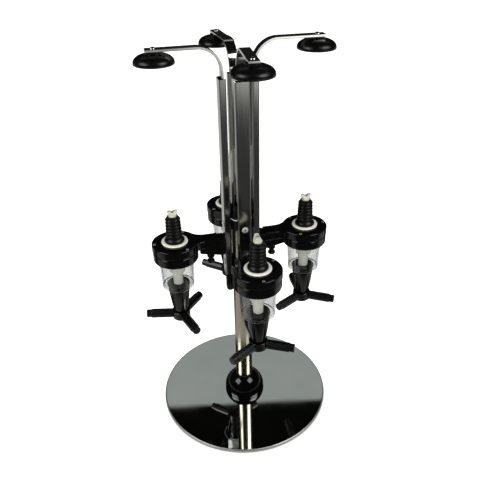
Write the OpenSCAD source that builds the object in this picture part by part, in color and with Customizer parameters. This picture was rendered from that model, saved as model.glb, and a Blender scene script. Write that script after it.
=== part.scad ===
// Rotary stand for four upturned bottles, each on its own measuring dispenser.
// Millimetres, +Z up, origin on the table at the centre of the base.
// Stations point to -Y (front), +X (right), +Y (back) and -X (left).

/* [Base] */
// Diameter of the base
base_d = 250; // [220:5:300]
// Height of the base's top face above the table
base_h = 6; // [5.6:0.2:8]
// Sheet thickness of the base pan
plate_t = 1.2; // [0.8:0.1:1.4]
// Outer radius of the pan's rolled edge
edge_r = 2.2; // [1.6:0.1:3]
// Thickness of the pad under the base
pad_t = 1; // [0.6:0.1:1.2]
// How far the pad stays inside the rim
pad_inset = 6; // [4:1:20]

/* [Post] */
// Outer diameter of the post tube
tube_d = 25; // [24:0.5:27]
// Wall of the post tube
tube_t = 1.2; // [1:0.1:2]
// Length of the post tube above the base
tube_h = 305; // [300:5:340]
// Diameter of the black dome at the foot of the tube
collar_d = 60; // [50:1:70]
// Height of the straight skirt below the dome
collar_skirt = 2; // [1:0.5:5]
// Wall of the dome
collar_t = 3; // [2:0.5:5]
// Height of the plug in the foot of the tube
plug_h = 20; // [16:1:30]
// Diameter of the bolt that holds the post
bolt_d = 6; // [5:0.5:8]
// Thickness of the washer on the tube's top rim
washer_t = 1; // [0.8:0.1:1.5]

/* [Column] */
// Width of a channel's web
channel_w = 17; // [16:0.5:18]
// Sheet thickness of a channel
channel_t = 1.2; // [1:0.1:1.5]
// Length of a channel's turned-in lips
lip_w = 3; // [2.4:0.2:3.4]
// Height of a channel
channel_h = 262; // [240:2:300]
// How far a channel hangs below the top of the tube
channel_drop = 83; // [80:1:90]
// Height of a hub sleeve
hub_h = 14.7; // [13:0.1:17]
// Wall of a hub sleeve
hub_t = 2.1; // [1.8:0.1:3]
// Distance between the two screws of a channel
screw_gap = 58; // [54:1:62]
// Shank diameter of a channel screw
screw_d = 4; // [3:0.5:4.5]
// Head diameter of a channel screw
screw_head_d = 8; // [6:0.2:9]
// Height of the cap above the tube's washer
cap_h = 12; // [10:1:16]

/* [Arms] */
// Thickness of an arm's strip
strip_t = 3; // [2:0.5:4]
// Height of an arm's top face above the tube's top
arm_rise = 212; // [200:1:240]
// Inner radius of an arm's bend
bend_r = 26; // [20:1:32]
// Distance of a presser's axis from the post's axis
reach_r = 92; // [86:1:100]
// Length of an arm past its presser screw
arm_tail = 9; // [7:1:14]
// Diameter of a presser dome
presser_d = 45.5; // [40:0.5:54]
// Height of a presser dome from rim to crown
presser_h = 11.5; // [10.5:0.5:14]
// Wall of a presser dome at its rim
presser_t = 5; // [4.5:0.5:6]
// Thickness of a presser dome at its crown
crown_t = 4; // [3.5:0.5:5]
// Diameter of the boss on a presser dome
boss_d = 16; // [12:1:20]
// Height of the boss on a presser dome
boss_h = 1.5; // [1:0.5:4]
// Shank diameter of a presser screw
presser_screw_d = 3.6; // [3:0.2:5]

/* [Springs] */
// Wire diameter of a tension spring
wire_d = 0.9; // [0.8:0.1:1]
// Mean radius of a tension spring's coil
coil_r = 3; // [2.8:0.1:3.2]
// Full turns of a tension spring
coil_turns = 15; // [8:1:16]
// Rise of a tension spring per turn
coil_pitch = 2.3; // [2:0.1:2.6]
// Length of the long loop under a tension spring's coil
loop_h = 30; // [20:1:36]
// Wire diameter of a return spring
return_wire_d = 1; // [0.8:0.1:1.2]
// Mean radius of a return spring
return_r = 5.5; // [5:0.1:6.5]
// Turns of a return spring
return_turns = 4; // [3:1:5]

/* [Dispensers] */
// Distance of a bottle's axis from the post's axis
station_r = 88; // [84:1:100]
// How far a head's top face lies below the tube's top
head_drop = 25; // [22:1:30]
// Diameter of a head
head_d = 60; // [56:1:70]
// Height of a head
head_h = 11; // [10:0.5:14]
// Width of a head's tail
tail_w = 20; // [18:1:24]
// Radius of the flare between tail and head
flare_r = 20; // [14:1:26]
// Diameter of a clamp ring
ring_d = 59; // [58:0.5:62]
// Height of a clamp ring
ring_h = 13.8; // [12:0.2:16]
// Outer diameter of a cup at its top
cup_d = 47; // [44:0.5:47.5]
// How far a cup narrows towards its foot, in diameter
cup_taper = 3.5; // [2:0.5:6]
// Height of a cup below its clamp ring
cup_h = 43; // [40:0.5:52]
// Wall of a cup
cup_t = 1.6; // [1.2:0.1:2]
// Diameter of a gasket
gasket_d = 34; // [32:1:40]
// Thickness of a gasket
gasket_t = 2; // [1.5:0.5:3]
// Diameter of a stopper's foot
stopper_d = 26; // [25:0.5:28]
// Diameter over a stopper's highest rib
rib_d = 19.4; // [18:0.2:21]
// How much wider a stopper's lowest rib is
rib_taper = 2; // [0.5:0.1:2.6]
// Number of ribs on a stopper
ribs = 6; // [4:1:7]
// Height of a stopper
stopper_h = 36; // [32:1:42]
// Outer diameter of an inlet tube
inlet_d = 10.7; // [10:0.1:11.5]
// Bore of an inlet tube
inlet_bore_d = 6; // [5:0.2:6.6]
// How far an inlet tube stands out of its stopper
inlet_tip_h = 7.5; // [6:0.5:12]

/* [Triggers] */
// Diameter of a spout at its top
spout_d = 28.4; // [27:0.2:29]
// Diameter of a spout's mouth
mouth_d = 18; // [17:0.2:18.4]
// Length of a spout below its cup
spout_h = 44.5; // [43:0.5:56]
// Number of flutes on a spout
flutes = 8; // [4:1:10]
// Diameter of a valve stem
stem_d = 14.2; // [13:0.1:16]
// Diameter of a valve stem's collar
stem_collar_d = 21; // [18:0.5:24]
// Height of a valve stem's collar
stem_collar_h = 15; // [10:0.5:17]
// Diameter of a valve stem's rod
rod_d = 6; // [5:0.2:6.4]
// How far a trigger can be pushed up
trigger_travel = 7; // [5:0.5:7]
// Outer diameter of a trigger's hub
hub_ring_d = 24.4; // [24.2:0.2:27]
// Height of a trigger's hub
hub_ring_h = 12.4; // [11.6:0.2:12.6]
// Reach of a trigger's prongs from its axis
prong_reach = 48; // [40:1:56]
// Thickness of a prong across its flats
prong_d = 12.4; // [10:0.2:12.6]
// Length of a prong's narrower tip
prong_tip_h = 6.5; // [3:0.5:8]

/* [Brackets] */
// Height of a bracket at the column
bracket_h = 22.5; // [20:0.5:26]
// Height of a bracket's outer end
bracket_nose_h = 7.5; // [5:0.5:9]
// Gap between a bracket's outer end and the clamp ring
bracket_gap = 1.5; // [1:0.5:4]
// Depth of the wall between column and tail
bracket_wall = 7.5; // [6.5:0.5:9]
// Distance of a thumb screw from the column
thumb_gap = 18.5; // [17:0.5:20]
// Shank diameter of a thumb screw
thumb_d = 5; // [4:0.2:6]
// Diameter of a thumb screw's knob
knob_d = 10; // [8:0.5:14]
// Height of a thumb screw's knob
knob_h = 4.4; // [3:0.2:6]

/* [Fits] */
// Radial play where a part turns or slides on another
run_play = 0.08; // [0.05:0.01:0.1]
// Radial play of a screw or pin in its hole
fix_play = 0.04; // [0.02:0.01:0.08]
// Gap between moving parts at rest
rest_gap = 0.3; // [0.2:0.05:0.5]
// Side play of an arm in its channel
slide_play = 1.3; // [1:0.05:1.5]
// Depth play of an arm's leg towards its channel's lips
depth_play = 0.8; // [0.5:0.1:0.9]
// Depth play of an arm's leg towards its channel's web
web_play = 2.3; // [2:0.1:3]

/* [Hidden] */
$fn = 72;
eps = 0.01;
STATIONS = ["front", "right", "back", "left"];
STATION_TURN = [-90, 0, 90, 180];
// Each trigger hangs at its own turn, measured from its station's outward line
TRIGGER_TURN = [62.5, -31, 49.2, -11.9];
// Each arm sticks at its own height above its stop and at its own turn in its channel
ARM_REST = [8, 8.5, 0, 3.5];
ARM_TWIST = [-4, -1, 4.4, 0.4];

SINGLES = [
  "base_plate", "base_ballast", "base_pad", "post_tube", "post_collar", "post_plug", "post_bolt",
  "thrust_washer", "upper_hub", "lower_hub", "hub_cap", "cap_screws", "channel_screws", "brackets",
  "bracket_screws", "heads", "head_screws", "clamp_rings", "cups", "gaskets", "stoppers", "inlet_tubes",
  "spouts"
];
FOURS = [
  "channel", "arm", "presser", "presser_screw", "tension_spring", "valve_stem", "return_spring", "trigger",
  "thumb_screw"
];

// Post
tube_r = tube_d / 2;
tube_bore_r = tube_r - tube_t;
tube_top = base_h + tube_h;
collar_r = collar_d / 2;
bolt_head_h = bolt_d / 2;
bolt_head_r = bolt_d;
plug_roof = 3;
bolt_top = base_h + plug_h - plug_roof - 2;
washer_top = tube_top + washer_t;

// Column, from the tube outwards
hub_bore_r = tube_r + run_play;
hub_r = hub_bore_r + hub_t;
lip_face = hub_r + rest_gap;
channel_depth = strip_t + depth_play + web_play + 2 * channel_t;
web_face = lip_face + channel_depth;
web_inner = web_face - channel_t;
lip_inner = lip_face + channel_t;
channel_in_w = channel_w - 2 * channel_t;
lip_slot = channel_w - 2 * (channel_t + lip_w);
channel_z = tube_top - channel_drop;
upper_hub_z = tube_top - rest_gap - hub_h;
upper_screw_z = upper_hub_z + hub_h / 2;
lower_screw_z = upper_screw_z - screw_gap;
lower_hub_z = lower_screw_z - hub_h / 2;
screw_tip = hub_bore_r + 1;
screw_head_h = 1.6;
key_play = 0.2;

// Washer and cap over the tube
washer_r = hub_r - 0.2;
washer_inset = 1.5;
cap_step = 0.4;
cap_z = washer_top + 0.05;
ear_z = upper_hub_z + hub_h;
ear_h = 5;
ear_top = ear_z + ear_h;
cap_top = washer_top + cap_h;
cap_top_r = hub_r - 1.6;
cap_screw_d = 2.5;
cap_head_r = 1.8;
cap_head_h = 0.8;
cap_screw_x = (lip_inner + web_inner) / 2;
cap_screw_h = ear_h + 3;

// Arms
strip_w = channel_in_w - 2 * slide_play;
leg_inner = lip_inner + depth_play;
leg_outer = leg_inner + strip_t;
leg_z = ear_top + rest_gap;
arm_top = tube_top + arm_rise;
arm_under = arm_top - strip_t;
bend_x = leg_outer + bend_r;
bend_z = arm_under - bend_r;
arm_end = reach_r + arm_tail;
leg_mid = (leg_inner + leg_outer) / 2;

// Presser domes
presser_r = presser_d / 2;
presser_crown = arm_under - boss_h;
presser_rim = presser_crown - presser_h;
presser_lip_r = 0.8;
DOME_POWER = 0.85;
presser_screw_h = strip_t + boss_h + crown_t / 2;
presser_head_r = 3.2;
presser_head_h = 2;
presser_recess_w = presser_head_r;

// Tension springs, hooked to tabs on the cap and to a hole in each arm's leg
wire_r = wire_d / 2;
spring_x = hub_r - 2.4;
loop_w = 1.9;
tab_t = 1.6;
tab_w = 5;
hook_hole_r = wire_r + 0.55;
loop_z = cap_top + 8;
tab_h = loop_z - cap_top + loop_w;
coil_z = loop_z + loop_h;
coil_start = 90;
coil_sweep = 360 * coil_turns + 225;
coil_h = coil_pitch * coil_sweep / 360;
leg_hook_z = coil_z + coil_h + 1.2;
RING_STEP = 45;
WIRE_SIDES = 6;

// Dispensers
head_top = tube_top - head_drop;
head_z = head_top - head_h;
head_r = head_d / 2;
head_hollow_r = 17;
head_screw_r = 26.2;
head_screw_d = 2.4;
head_screw_head_d = 4.2;
head_screw_head_h = 0.7;
ring_r = ring_d / 2;
ring_z = head_z - ring_h;
ring_lip = 1.5;
ring_step = 0.9;
head_screw_z = ring_z + 4;
cup_r = cup_d / 2;
cup_foot_r = cup_r - cup_taper / 2;
cup_z = ring_z - cup_h;
cup_flange_r = cup_r + 0.9;
cup_flange_h = 3;
cup_chamfer_h = 5;
cup_mouth_r = cup_foot_r - 6;
gasket_top = head_top + gasket_t;
gasket_round = 0.7;
stopper_top = gasket_top + stopper_h;
stopper_foot_h = 3;
foot_round = 0.6;
rib_r = rib_d / 2;
rib_bead_r = 1.9;
rib_depth = 1.4;
rib_core_r = rib_r - rib_depth;
low_rib_r = rib_r + rib_taper / 2;
flare_h = 3.2;
nose_h = 2.5;
rib_pitch = (stopper_h - stopper_foot_h - flare_h - nose_h) / ribs;
inlet_r = inlet_d / 2;
inlet_top = stopper_top + inlet_tip_h;
inlet_flange_r = 8;
inlet_flange_h = 2.4;
inlet_flange_z = head_top - 2 - inlet_flange_h;
tip_spread = 1.4;
tip_edge = 4.2;
tip_notch = 3.2;

// Spouts, valve stems and triggers
cup_floor_t = 2;
spout_top_r = spout_d / 2;
mouth_r = mouth_d / 2;
spout_hole_r = spout_top_r + fix_play;
spout_flange_r = cup_mouth_r - 0.3;
spout_flange_h = 1.5;
spout_flange_top = cup_z + cup_floor_t + spout_flange_h;
mouth_z = cup_z - spout_h;
spout_cone_z = cup_z - 3;
SPOUT_POWER = 1.5;
flute_r = 1.1;
flute_inset = 0.6;
flute_z = 10;
flute_end = 4;
spout_bore_r = rod_d / 2 + 1.6;
socket_r = rod_d / 2 + 2.4;
mouth_bore_r = socket_r + 0.8;
stem_r = stem_d / 2;
stem_z = spout_flange_top + rest_gap;
stem_top = ring_z - 4;
stem_cone_h = 3;
stem_taper = 0.6;
bead_h = 1;
bead_out = 0.4;
trigger_floor_t = 2.5;
outlet_d = 3;
trigger_z = mouth_z - rest_gap - trigger_travel - trigger_floor_t;
trigger_axis_z = trigger_z + prong_d / 2;
socket_h = 6;
rod_z = trigger_z + 1.6;
mouth_bore_h = socket_h - trigger_floor_t + 1;
hub_ring_r = hub_ring_d / 2;
hub_ring_bore_r = hub_ring_r - 1.1;
prong_r = prong_d / 2 / cos(22.5);
prong_tip_r = prong_r - 0.9;
return_z = stem_top + return_wire_d / 2 + 0.1;
return_top = inlet_flange_z - return_wire_d / 2 - 0.1;

// Brackets and thumb screws
bracket_top = head_z;
bracket_z = bracket_top - (bracket_h - (head_h - 1.5));
bracket_x = web_face;
tail_x = bracket_x + bracket_wall;
bracket_end = station_r - ring_r - bracket_gap;
rail_w = 7;
rail_h = 3;
thumb_x = bracket_x + thumb_gap;
thumb_boss_r = thumb_d / 2 + 2.6;
thumb_boss_z = bracket_z - 6;
knob_top = thumb_boss_z - 4;
thumb_top = bracket_top + rail_h + 1.5;
bracket_screw_d = 3;
bracket_screw_h = 5;
bracket_screw_head_d = 4.4;
bracket_screw_head_h = 1.5;

// Places a child at one station, with +X outwards
module at_station(i) {
  rotate([0, 0, STATION_TURN[i]]) children();
}

// Places a child on the bottle axis of one station
module on_axis(i) {
  at_station(i) translate([station_r, 0, 0]) children();
}

// Places a child that goes with one arm, as the arm sits in its channel
module on_arm(i) {
  at_station(i) translate([leg_mid, 0, ARM_REST[i]]) rotate([0, 0, ARM_TWIST[i]])
    translate([-leg_mid, 0, 0]) children();
}

// A tube or a disc with a hole, from z upwards
module ring(r_out, r_in, z, h) {
  translate([0, 0, z]) difference() {
    cylinder(r = r_out, h = h);
    translate([0, 0, -eps]) cylinder(r = r_in, h = h + 2 * eps);
  }
}

// A rounded rectangle around the origin
module rounded_rect(w, h, r) {
  square([w - 2 * r, h], center = true);
  square([w, h - 2 * r], center = true);
  for (x = [-1, 1], y = [-1, 1]) translate([x * (w / 2 - r), y * (h / 2 - r)]) circle(r);
}

// A cylinder along +X
module rod_x(r, x, len, y = 0, z = 0) {
  translate([x, y, z]) rotate([0, 90, 0]) cylinder(r = r, h = len);
}

// A cross-shaped driver recess, cut downwards from the origin
module cross_recess(size, depth) {
  for (a = [0, 90]) rotate([0, 0, a]) translate([-size / 2, -size / 10, -depth])
    cube([size, size / 5, depth + eps]);
}

function unit(v) = v / norm(v);

// Triangles of a tube swept along a path, its rings carried along without twist
module wire(path, r) {
  n = len(path);
  tangents = [for (i = [0:n - 1]) unit(path[min(i + 1, n - 1)] - path[max(i - 1, 0)])];
  first = unit(cross(tangents[0], [0.31, 0.95, 0.12]));
  normals = [
    for (i = 0, v = first; i < n; i = i + 1, v = i < n ? unit(v - (v * tangents[i]) * tangents[i]) : v) v
  ];
  points = [
    for (i = [0:n - 1], k = [0:WIRE_SIDES - 1])
      let (a = 360 * k / WIRE_SIDES, side = cross(tangents[i], normals[i]))
      path[i] + r * (cos(a) * normals[i] + sin(a) * side)
  ];
  sides = [
    for (i = [0:n - 2], k = [0:WIRE_SIDES - 1])
      let (a = i * WIRE_SIDES + k, b = i * WIRE_SIDES + (k + 1) % WIRE_SIDES)
      each [[a, a + WIRE_SIDES, b], [b, a + WIRE_SIDES, b + WIRE_SIDES]]
  ];
  last = (n - 1) * WIRE_SIDES;
  caps = [for (k = [1:WIRE_SIDES - 2]) each [[0, k, k + 1], [last, last + k + 1, last + k]]];
  polyhedron(points = points, faces = concat(sides, caps), convexity = 10);
}

// Least gap of a wire to itself, between points that are at least skip apart along the path
function self_gap(path, r, skip) = min([
  for (i = [0:len(path) - 1 - skip], j = [i + skip:len(path) - 1]) norm(path[i] - path[j])
]) - 2 * r;

// Tension spring: up one side of the long loop from its free end, round the tab's hole and into the coil,
// which is pulled longer by the height at which its arm sits
function tension_path(pull) = let (
  top = coil_z - 1.6,
  free = coil_z - 3.5,
  low = loop_z + loop_w,
  rise = coil_h + pull,
  hook_z = leg_hook_z + pull
) concat(
  [[spring_x, -loop_w, free]],
  [[spring_x, -loop_w, free - wire_d]],
  [[spring_x, -loop_w, (free + low) / 2]],
  [for (a = [180:30:360]) [spring_x, loop_w * cos(a), low + loop_w * sin(a)]],
  [[spring_x, loop_w, (top + low) / 2]],
  [[spring_x, loop_w, top]],
  [[spring_x - 0.1, loop_w + 0.35, coil_z - 0.75]],
  [[spring_x - 0.5, coil_r - 0.2, coil_z - 0.25]],
  [
    for (a = [RING_STEP:RING_STEP:coil_sweep]) [
      spring_x + coil_r * cos(coil_start + a),
      coil_r * sin(coil_start + a),
      coil_z + rise * a / coil_sweep
    ]
  ],
  [[spring_x + coil_r + 0.4, -0.75, coil_z + rise + 0.6]],
  [[spring_x + coil_r + 1.5, -0.1, hook_z - 0.1]],
  [[spring_x + coil_r + 2.6, 0, hook_z]],
  [[leg_outer - wire_d, 0, hook_z]],
  [[leg_outer, 0, hook_z]]
);

// Return spring: a plain helix with its ends run out straight
function return_path() = let (sweep = 360 * return_turns, rise = return_top - return_z) concat(
  [[return_r, -return_wire_d, return_z]],
  [
    for (a = [0:RING_STEP:sweep]) [
      return_r * cos(a),
      return_r * sin(a),
      return_z + rise * a / sweep
    ]
  ],
  [[return_r, return_wire_d, return_top]]
);

echo(tension_spring_self_gap = self_gap(tension_path(min(ARM_REST)), wire_r, 6));
echo(return_spring_self_gap = self_gap(return_path(), return_wire_d / 2, 6));

// Pressed pan: a flat top, a rolled edge and a short skirt, with a hole for the bolt
module base_plate() {
  skirt_z = pad_t + 0.4;
  color("silver") rotate_extrude($fn = 180) difference() {
    union() {
      translate([0, skirt_z]) square([base_d / 2 - edge_r, base_h - skirt_z]);
      translate([0, skirt_z]) square([base_d / 2, base_h - skirt_z - edge_r]);
      translate([base_d / 2 - edge_r, base_h - edge_r]) circle(edge_r);
    }
    translate([-eps, -eps]) square([base_d / 2 - plate_t, base_h - plate_t + eps]);
    translate([-eps, -eps]) square([bolt_d / 2 + fix_play, base_h + 1]);
  }
}

// Weight disc in the pan, countersunk for the bolt's head
module base_ballast() {
  ballast_h = base_h - plate_t - pad_t;
  color("dimgray") difference() {
    translate([0, 0, pad_t]) cylinder(r = base_d / 2 - plate_t - rest_gap, h = ballast_h);
    translate([0, 0, pad_t - eps]) cylinder(r = bolt_d / 2 + fix_play, h = base_h);
    translate([0, 0, pad_t - eps])
      cylinder(r1 = bolt_head_r + fix_play, r2 = bolt_d / 2 + fix_play, h = bolt_head_h + 2 * fix_play);
  }
}

// Soft pad that meets the table
module base_pad() {
  color("black") cylinder(r = base_d / 2 - pad_inset, h = pad_t);
}

module post_tube() {
  color("gainsboro") ring(tube_r, tube_bore_r, base_h, tube_h);
}

// Black dome, hollow, with a hole that fits the tube
module post_collar() {
  dome_z = base_h + collar_skirt;
  color("black") rotate_extrude() difference() {
    union() {
      translate([0, base_h]) square([collar_r, collar_skirt]);
      intersection() {
        translate([0, dome_z]) circle(collar_r);
        translate([0, dome_z]) square(collar_r);
      }
    }
    translate([0, base_h - eps]) square([collar_r - collar_t, collar_skirt + eps]);
    intersection() {
      translate([0, dome_z]) circle(collar_r - collar_t);
      translate([0, dome_z]) square(collar_r);
    }
    translate([-eps, 0]) square([tube_r + fix_play + eps, tube_top]);
  }
}

// Plug pressed into the foot of the tube, threaded for the bolt
module post_plug() {
  color("darkgray") difference() {
    translate([0, 0, base_h]) cylinder(r = tube_bore_r - fix_play, h = plug_h);
    translate([0, 0, base_h - eps]) cylinder(r = bolt_d / 2 + fix_play, h = plug_h - plug_roof);
  }
}

module post_bolt() {
  color("gray") difference() {
    union() {
      translate([0, 0, pad_t]) cylinder(r1 = bolt_head_r, r2 = bolt_d / 2, h = bolt_head_h);
      translate([0, 0, pad_t + bolt_head_h - eps])
        cylinder(r = bolt_d / 2, h = bolt_top - pad_t - bolt_head_h);
    }
    translate([0, 0, pad_t - eps]) cylinder(r = bolt_d / 3, h = bolt_head_h * 0.6, $fn = 6);
  }
}

// Slippery washer between the tube's rim and the cap
module thrust_washer() {
  color("white") ring(washer_r, tube_bore_r - washer_inset, tube_top, washer_t);
}

// Outline of a key: a neck through the channel's slot and a head inside the channel
module key_outline() {
  translate([hub_r - 1, -lip_slot / 2 + key_play])
    square([lip_inner - hub_r + 2, lip_slot - 2 * key_play]);
  translate([lip_inner + key_play, -channel_in_w / 2 + key_play])
    square([web_inner - lip_inner - 2 * key_play, channel_in_w - 2 * key_play]);
}

// Sleeve that turns on the tube and carries the four channels on its keys
module hub_sleeve(z, screw_z) {
  difference() {
    union() {
      translate([0, 0, z]) cylinder(r = hub_r, h = hub_h);
      for (i = [0:3]) at_station(i) translate([0, 0, z]) linear_extrude(hub_h) key_outline();
    }
    translate([0, 0, z - eps]) cylinder(r = hub_bore_r, h = hub_h + 2 * eps);
    for (i = [0:3]) at_station(i)
      rod_x(screw_d / 2 + fix_play, screw_tip - 0.3, web_face - screw_tip, 0, screw_z);
  }
}

module upper_hub() {
  color("#161616") difference() {
    hub_sleeve(upper_hub_z, upper_screw_z);
    for (i = [0:3]) at_station(i) translate([cap_screw_x, 0, ear_top - cap_screw_h - 0.5])
      cylinder(r = cap_screw_d / 2 + fix_play, h = cap_screw_h);
  }
}

module lower_hub() {
  color("#161616") hub_sleeve(lower_hub_z, lower_screw_z);
}

// Cap that bears on the washer, with ears on the upper hub's keys and a tab for each spring
module hub_cap() {
  color("#121212") difference() {
    union() {
      translate([0, 0, cap_z]) cylinder(r = hub_r, h = ear_top - cap_z);
      translate([0, 0, ear_top - eps])
        cylinder(r1 = hub_r - cap_step, r2 = cap_top_r, h = cap_top - ear_top);
      for (i = [0:3]) at_station(i) {
        translate([0, 0, ear_z]) linear_extrude(ear_h) intersection() {
          key_outline();
          translate([hub_r + 0.1, -channel_w / 2]) square([channel_depth, channel_w]);
        }
        translate([0, 0, cap_z]) linear_extrude(ear_top - cap_z) key_outline();
        translate([spring_x - tab_w / 2, -tab_t / 2, cap_top - 1]) cube([tab_w, tab_t, tab_h + 1]);
      }
    }
    for (i = [0:3]) at_station(i) {
      translate([cap_screw_x, 0, ear_z - 1]) cylinder(r = cap_screw_d / 2 + fix_play, h = ear_h + 2);
      translate([cap_screw_x, 0, ear_top - cap_head_h - fix_play])
        cylinder(r1 = cap_screw_d / 2 + fix_play, r2 = cap_head_r + 2 * fix_play, h = cap_head_h + 0.1);
      translate([spring_x, tab_t, loop_z + 0.1]) rotate([90, 0, 0])
        cylinder(r = hook_hole_r, h = 2 * tab_t);
    }
  }
}

// Countersunk screws that hold the cap's ears to the upper hub
module cap_screws() {
  color("silver") for (i = [0:3]) at_station(i) translate([cap_screw_x, 0, ear_top]) difference() {
    union() {
      translate([0, 0, -cap_screw_h]) cylinder(r = cap_screw_d / 2, h = cap_screw_h - cap_head_h / 2);
      translate([0, 0, -cap_head_h]) cylinder(r1 = cap_screw_d / 2, r2 = cap_head_r, h = cap_head_h);
    }
    cross_recess(2, 0.6);
  }
}

// Lipped channel with its web outwards
module channel(i) {
  bend = channel_t + 0.5;
  mid = (lip_face + web_face) / 2;
  color("#8a8a86") difference() {
    at_station(i) translate([0, 0, channel_z]) linear_extrude(channel_h) difference() {
      translate([mid, 0]) rounded_rect(channel_depth, channel_w, bend);
      translate([mid, 0]) rounded_rect(channel_depth - 2 * channel_t, channel_in_w, bend - channel_t);
      translate([lip_face - eps, -lip_slot / 2]) square([channel_t + 2 * eps, lip_slot]);
    }
    for (z = [upper_screw_z, lower_screw_z])
      at_station(i) rod_x(screw_d / 2 + fix_play, web_inner - 0.5, channel_t + 1, 0, z);
    for (z = bracket_screw_heights())
      at_station(i) rod_x(bracket_screw_d / 2 + fix_play, web_inner - 0.5, channel_t + 1, 0, z);
  }
}

// Cross-head screws through each web into the hub keys
module channel_screws() {
  color("lightgray") for (i = [0:3], z = [upper_screw_z, lower_screw_z]) at_station(i) difference() {
    union() {
      rod_x(screw_d / 2, screw_tip, web_face - screw_tip + eps, 0, z);
      translate([web_face, 0, z]) rotate([0, 90, 0]) intersection() {
        cylinder(d = screw_head_d, h = screw_head_h);
        translate([0, 0, screw_head_h - screw_head_d]) sphere(screw_head_d);
      }
    }
    translate([web_face + screw_head_h, 0, z]) rotate([0, 90, 0]) cross_recess(screw_head_d * 0.56, 1);
  }
}

function bracket_screw_heights() = [
  bracket_z + bracket_h * 0.22,
  bracket_z + bracket_h * 0.78
];

// Black shoe on the column: a wall at the column, a wedge under the head's tail and a rail in its groove
module brackets() {
  back_top = bracket_z + bracket_h;
  nose_z = bracket_top - bracket_nose_h;
  color("#0e0e0e") for (i = [0:3]) at_station(i) difference() {
    union() {
      rotate([90, 0, 0]) translate([0, 0, -tail_w / 2]) linear_extrude(tail_w) polygon([
        [bracket_x, bracket_z],
        [bracket_x + bracket_wall, bracket_z],
        [bracket_end, nose_z],
        [bracket_end, bracket_top],
        [tail_x, bracket_top],
        [tail_x, back_top],
        [bracket_x, back_top]
      ]);
      translate([tail_x - 1, -rail_w / 2, bracket_top - 1])
        cube([bracket_end - tail_x + 1, rail_w, rail_h + 1]);
      translate([thumb_x, 0, thumb_boss_z]) cylinder(r = thumb_boss_r, h = bracket_top - thumb_boss_z);
    }
    translate([thumb_x, 0, thumb_boss_z - eps])
      cylinder(r = thumb_d / 2 + run_play, h = bracket_top + rail_h - thumb_boss_z + 1);
    for (z = bracket_screw_heights())
      rod_x(bracket_screw_d / 2 + fix_play, bracket_x - eps, bracket_screw_h + 0.5, 0, z);
  }
}

// Screws from inside each channel into its bracket
module bracket_screws() {
  color("silver") for (i = [0:3], z = bracket_screw_heights()) at_station(i) difference() {
    union() {
      rod_x(bracket_screw_d / 2, web_inner - eps, channel_t + bracket_screw_h, 0, z);
      rod_x(bracket_screw_head_d / 2, web_inner - bracket_screw_head_h, bracket_screw_head_h, 0, z);
    }
    translate([web_inner - bracket_screw_head_h, 0, z]) rotate([0, -90, 0]) cross_recess(2.6, 0.8);
  }
}

// Plan of a head: a disc on the bottle axis, a straight tail and a flare between them
module head_plan() {
  flare_x = station_r - sqrt(pow(head_r + flare_r, 2) - pow(tail_w / 2 + flare_r, 2));
  touch_x = station_r - (station_r - flare_x) * head_r / (head_r + flare_r);
  touch_y = (tail_w / 2 + flare_r) * head_r / (head_r + flare_r);
  translate([station_r, 0]) circle(head_r, $fn = 96);
  translate([tail_x + 0.2, -tail_w / 2]) square([station_r - tail_x, tail_w]);
  difference() {
    polygon([
      [flare_x, -tail_w / 2],
      [touch_x, -touch_y],
      [station_r, 0],
      [touch_x, touch_y],
      [flare_x, tail_w / 2]
    ]);
    for (s = [-1, 1]) translate([flare_x, s * (tail_w / 2 + flare_r)]) circle(flare_r, $fn = 96);
  }
}

module head_screw_places() {
  for (a = [0, 120, 240]) rotate([0, 0, a]) translate([head_screw_r, 0, 0]) children();
}

// Black head with its tail, hollow below for the return spring
module heads() {
  color("#0c0c0c") for (i = [0:3]) difference() {
    at_station(i) translate([0, 0, head_z]) linear_extrude(head_h) head_plan();
    on_axis(i) {
      translate([0, 0, head_z - eps]) cylinder(r = inlet_r + fix_play, h = head_h + 2 * eps);
      translate([0, 0, head_z - eps])
        cylinder(r = head_hollow_r, h = inlet_flange_z + inlet_flange_h + fix_play - head_z);
      head_screw_places() translate([0, 0, head_z - eps])
        cylinder(r = head_screw_d / 2 + fix_play, h = head_h + 2 * eps);
    }
    at_station(i) {
      translate([tail_x, -rail_w / 2 - 0.1, head_z - eps])
        cube([bracket_end - tail_x + 0.5, rail_w + 0.2, rail_h + 0.1]);
      translate([thumb_x, 0, head_z]) cylinder(r = thumb_d / 2 + 0.2, h = thumb_top + 0.3 - head_z);
    }
  }
}

// Three small screws on each head, down into the clamp ring
module head_screws() {
  color("silver") for (i = [0:3]) on_axis(i) head_screw_places() difference() {
    union() {
      translate([0, 0, head_screw_z]) cylinder(d = head_screw_d, h = head_top - head_screw_z + eps);
      translate([0, 0, head_top])
        cylinder(d1 = head_screw_head_d, d2 = head_screw_head_d * 0.7, h = head_screw_head_h);
    }
    translate([0, 0, head_top + head_screw_head_h]) cross_recess(head_screw_head_d / 2, 0.6);
  }
}

// Ring under each head that clamps the cup's flange
module clamp_rings() {
  bore_r = cup_r + 0.15;
  seat_r = cup_flange_r + 0.1;
  color("#101010") for (i = [0:3]) on_axis(i) difference() {
    translate([0, 0, ring_z]) rotate_extrude() difference() {
      union() {
        translate([bore_r, ring_lip]) square([ring_r - bore_r, ring_h - ring_lip]);
        translate([bore_r, 0]) square([ring_r - ring_lip - bore_r, ring_h]);
        translate([ring_r - ring_lip, ring_lip]) circle(ring_lip);
      }
      translate([bore_r - 1, ring_h - cup_flange_h - 0.05]) square([seat_r - bore_r + 1, ring_h]);
      translate([ring_r - ring_step, ring_h - ring_step]) square(2 * ring_step);
    }
    head_screw_places() translate([0, 0, head_screw_z - rest_gap])
      cylinder(r = head_screw_d / 2 + fix_play, h = ring_h);
  }
}

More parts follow.
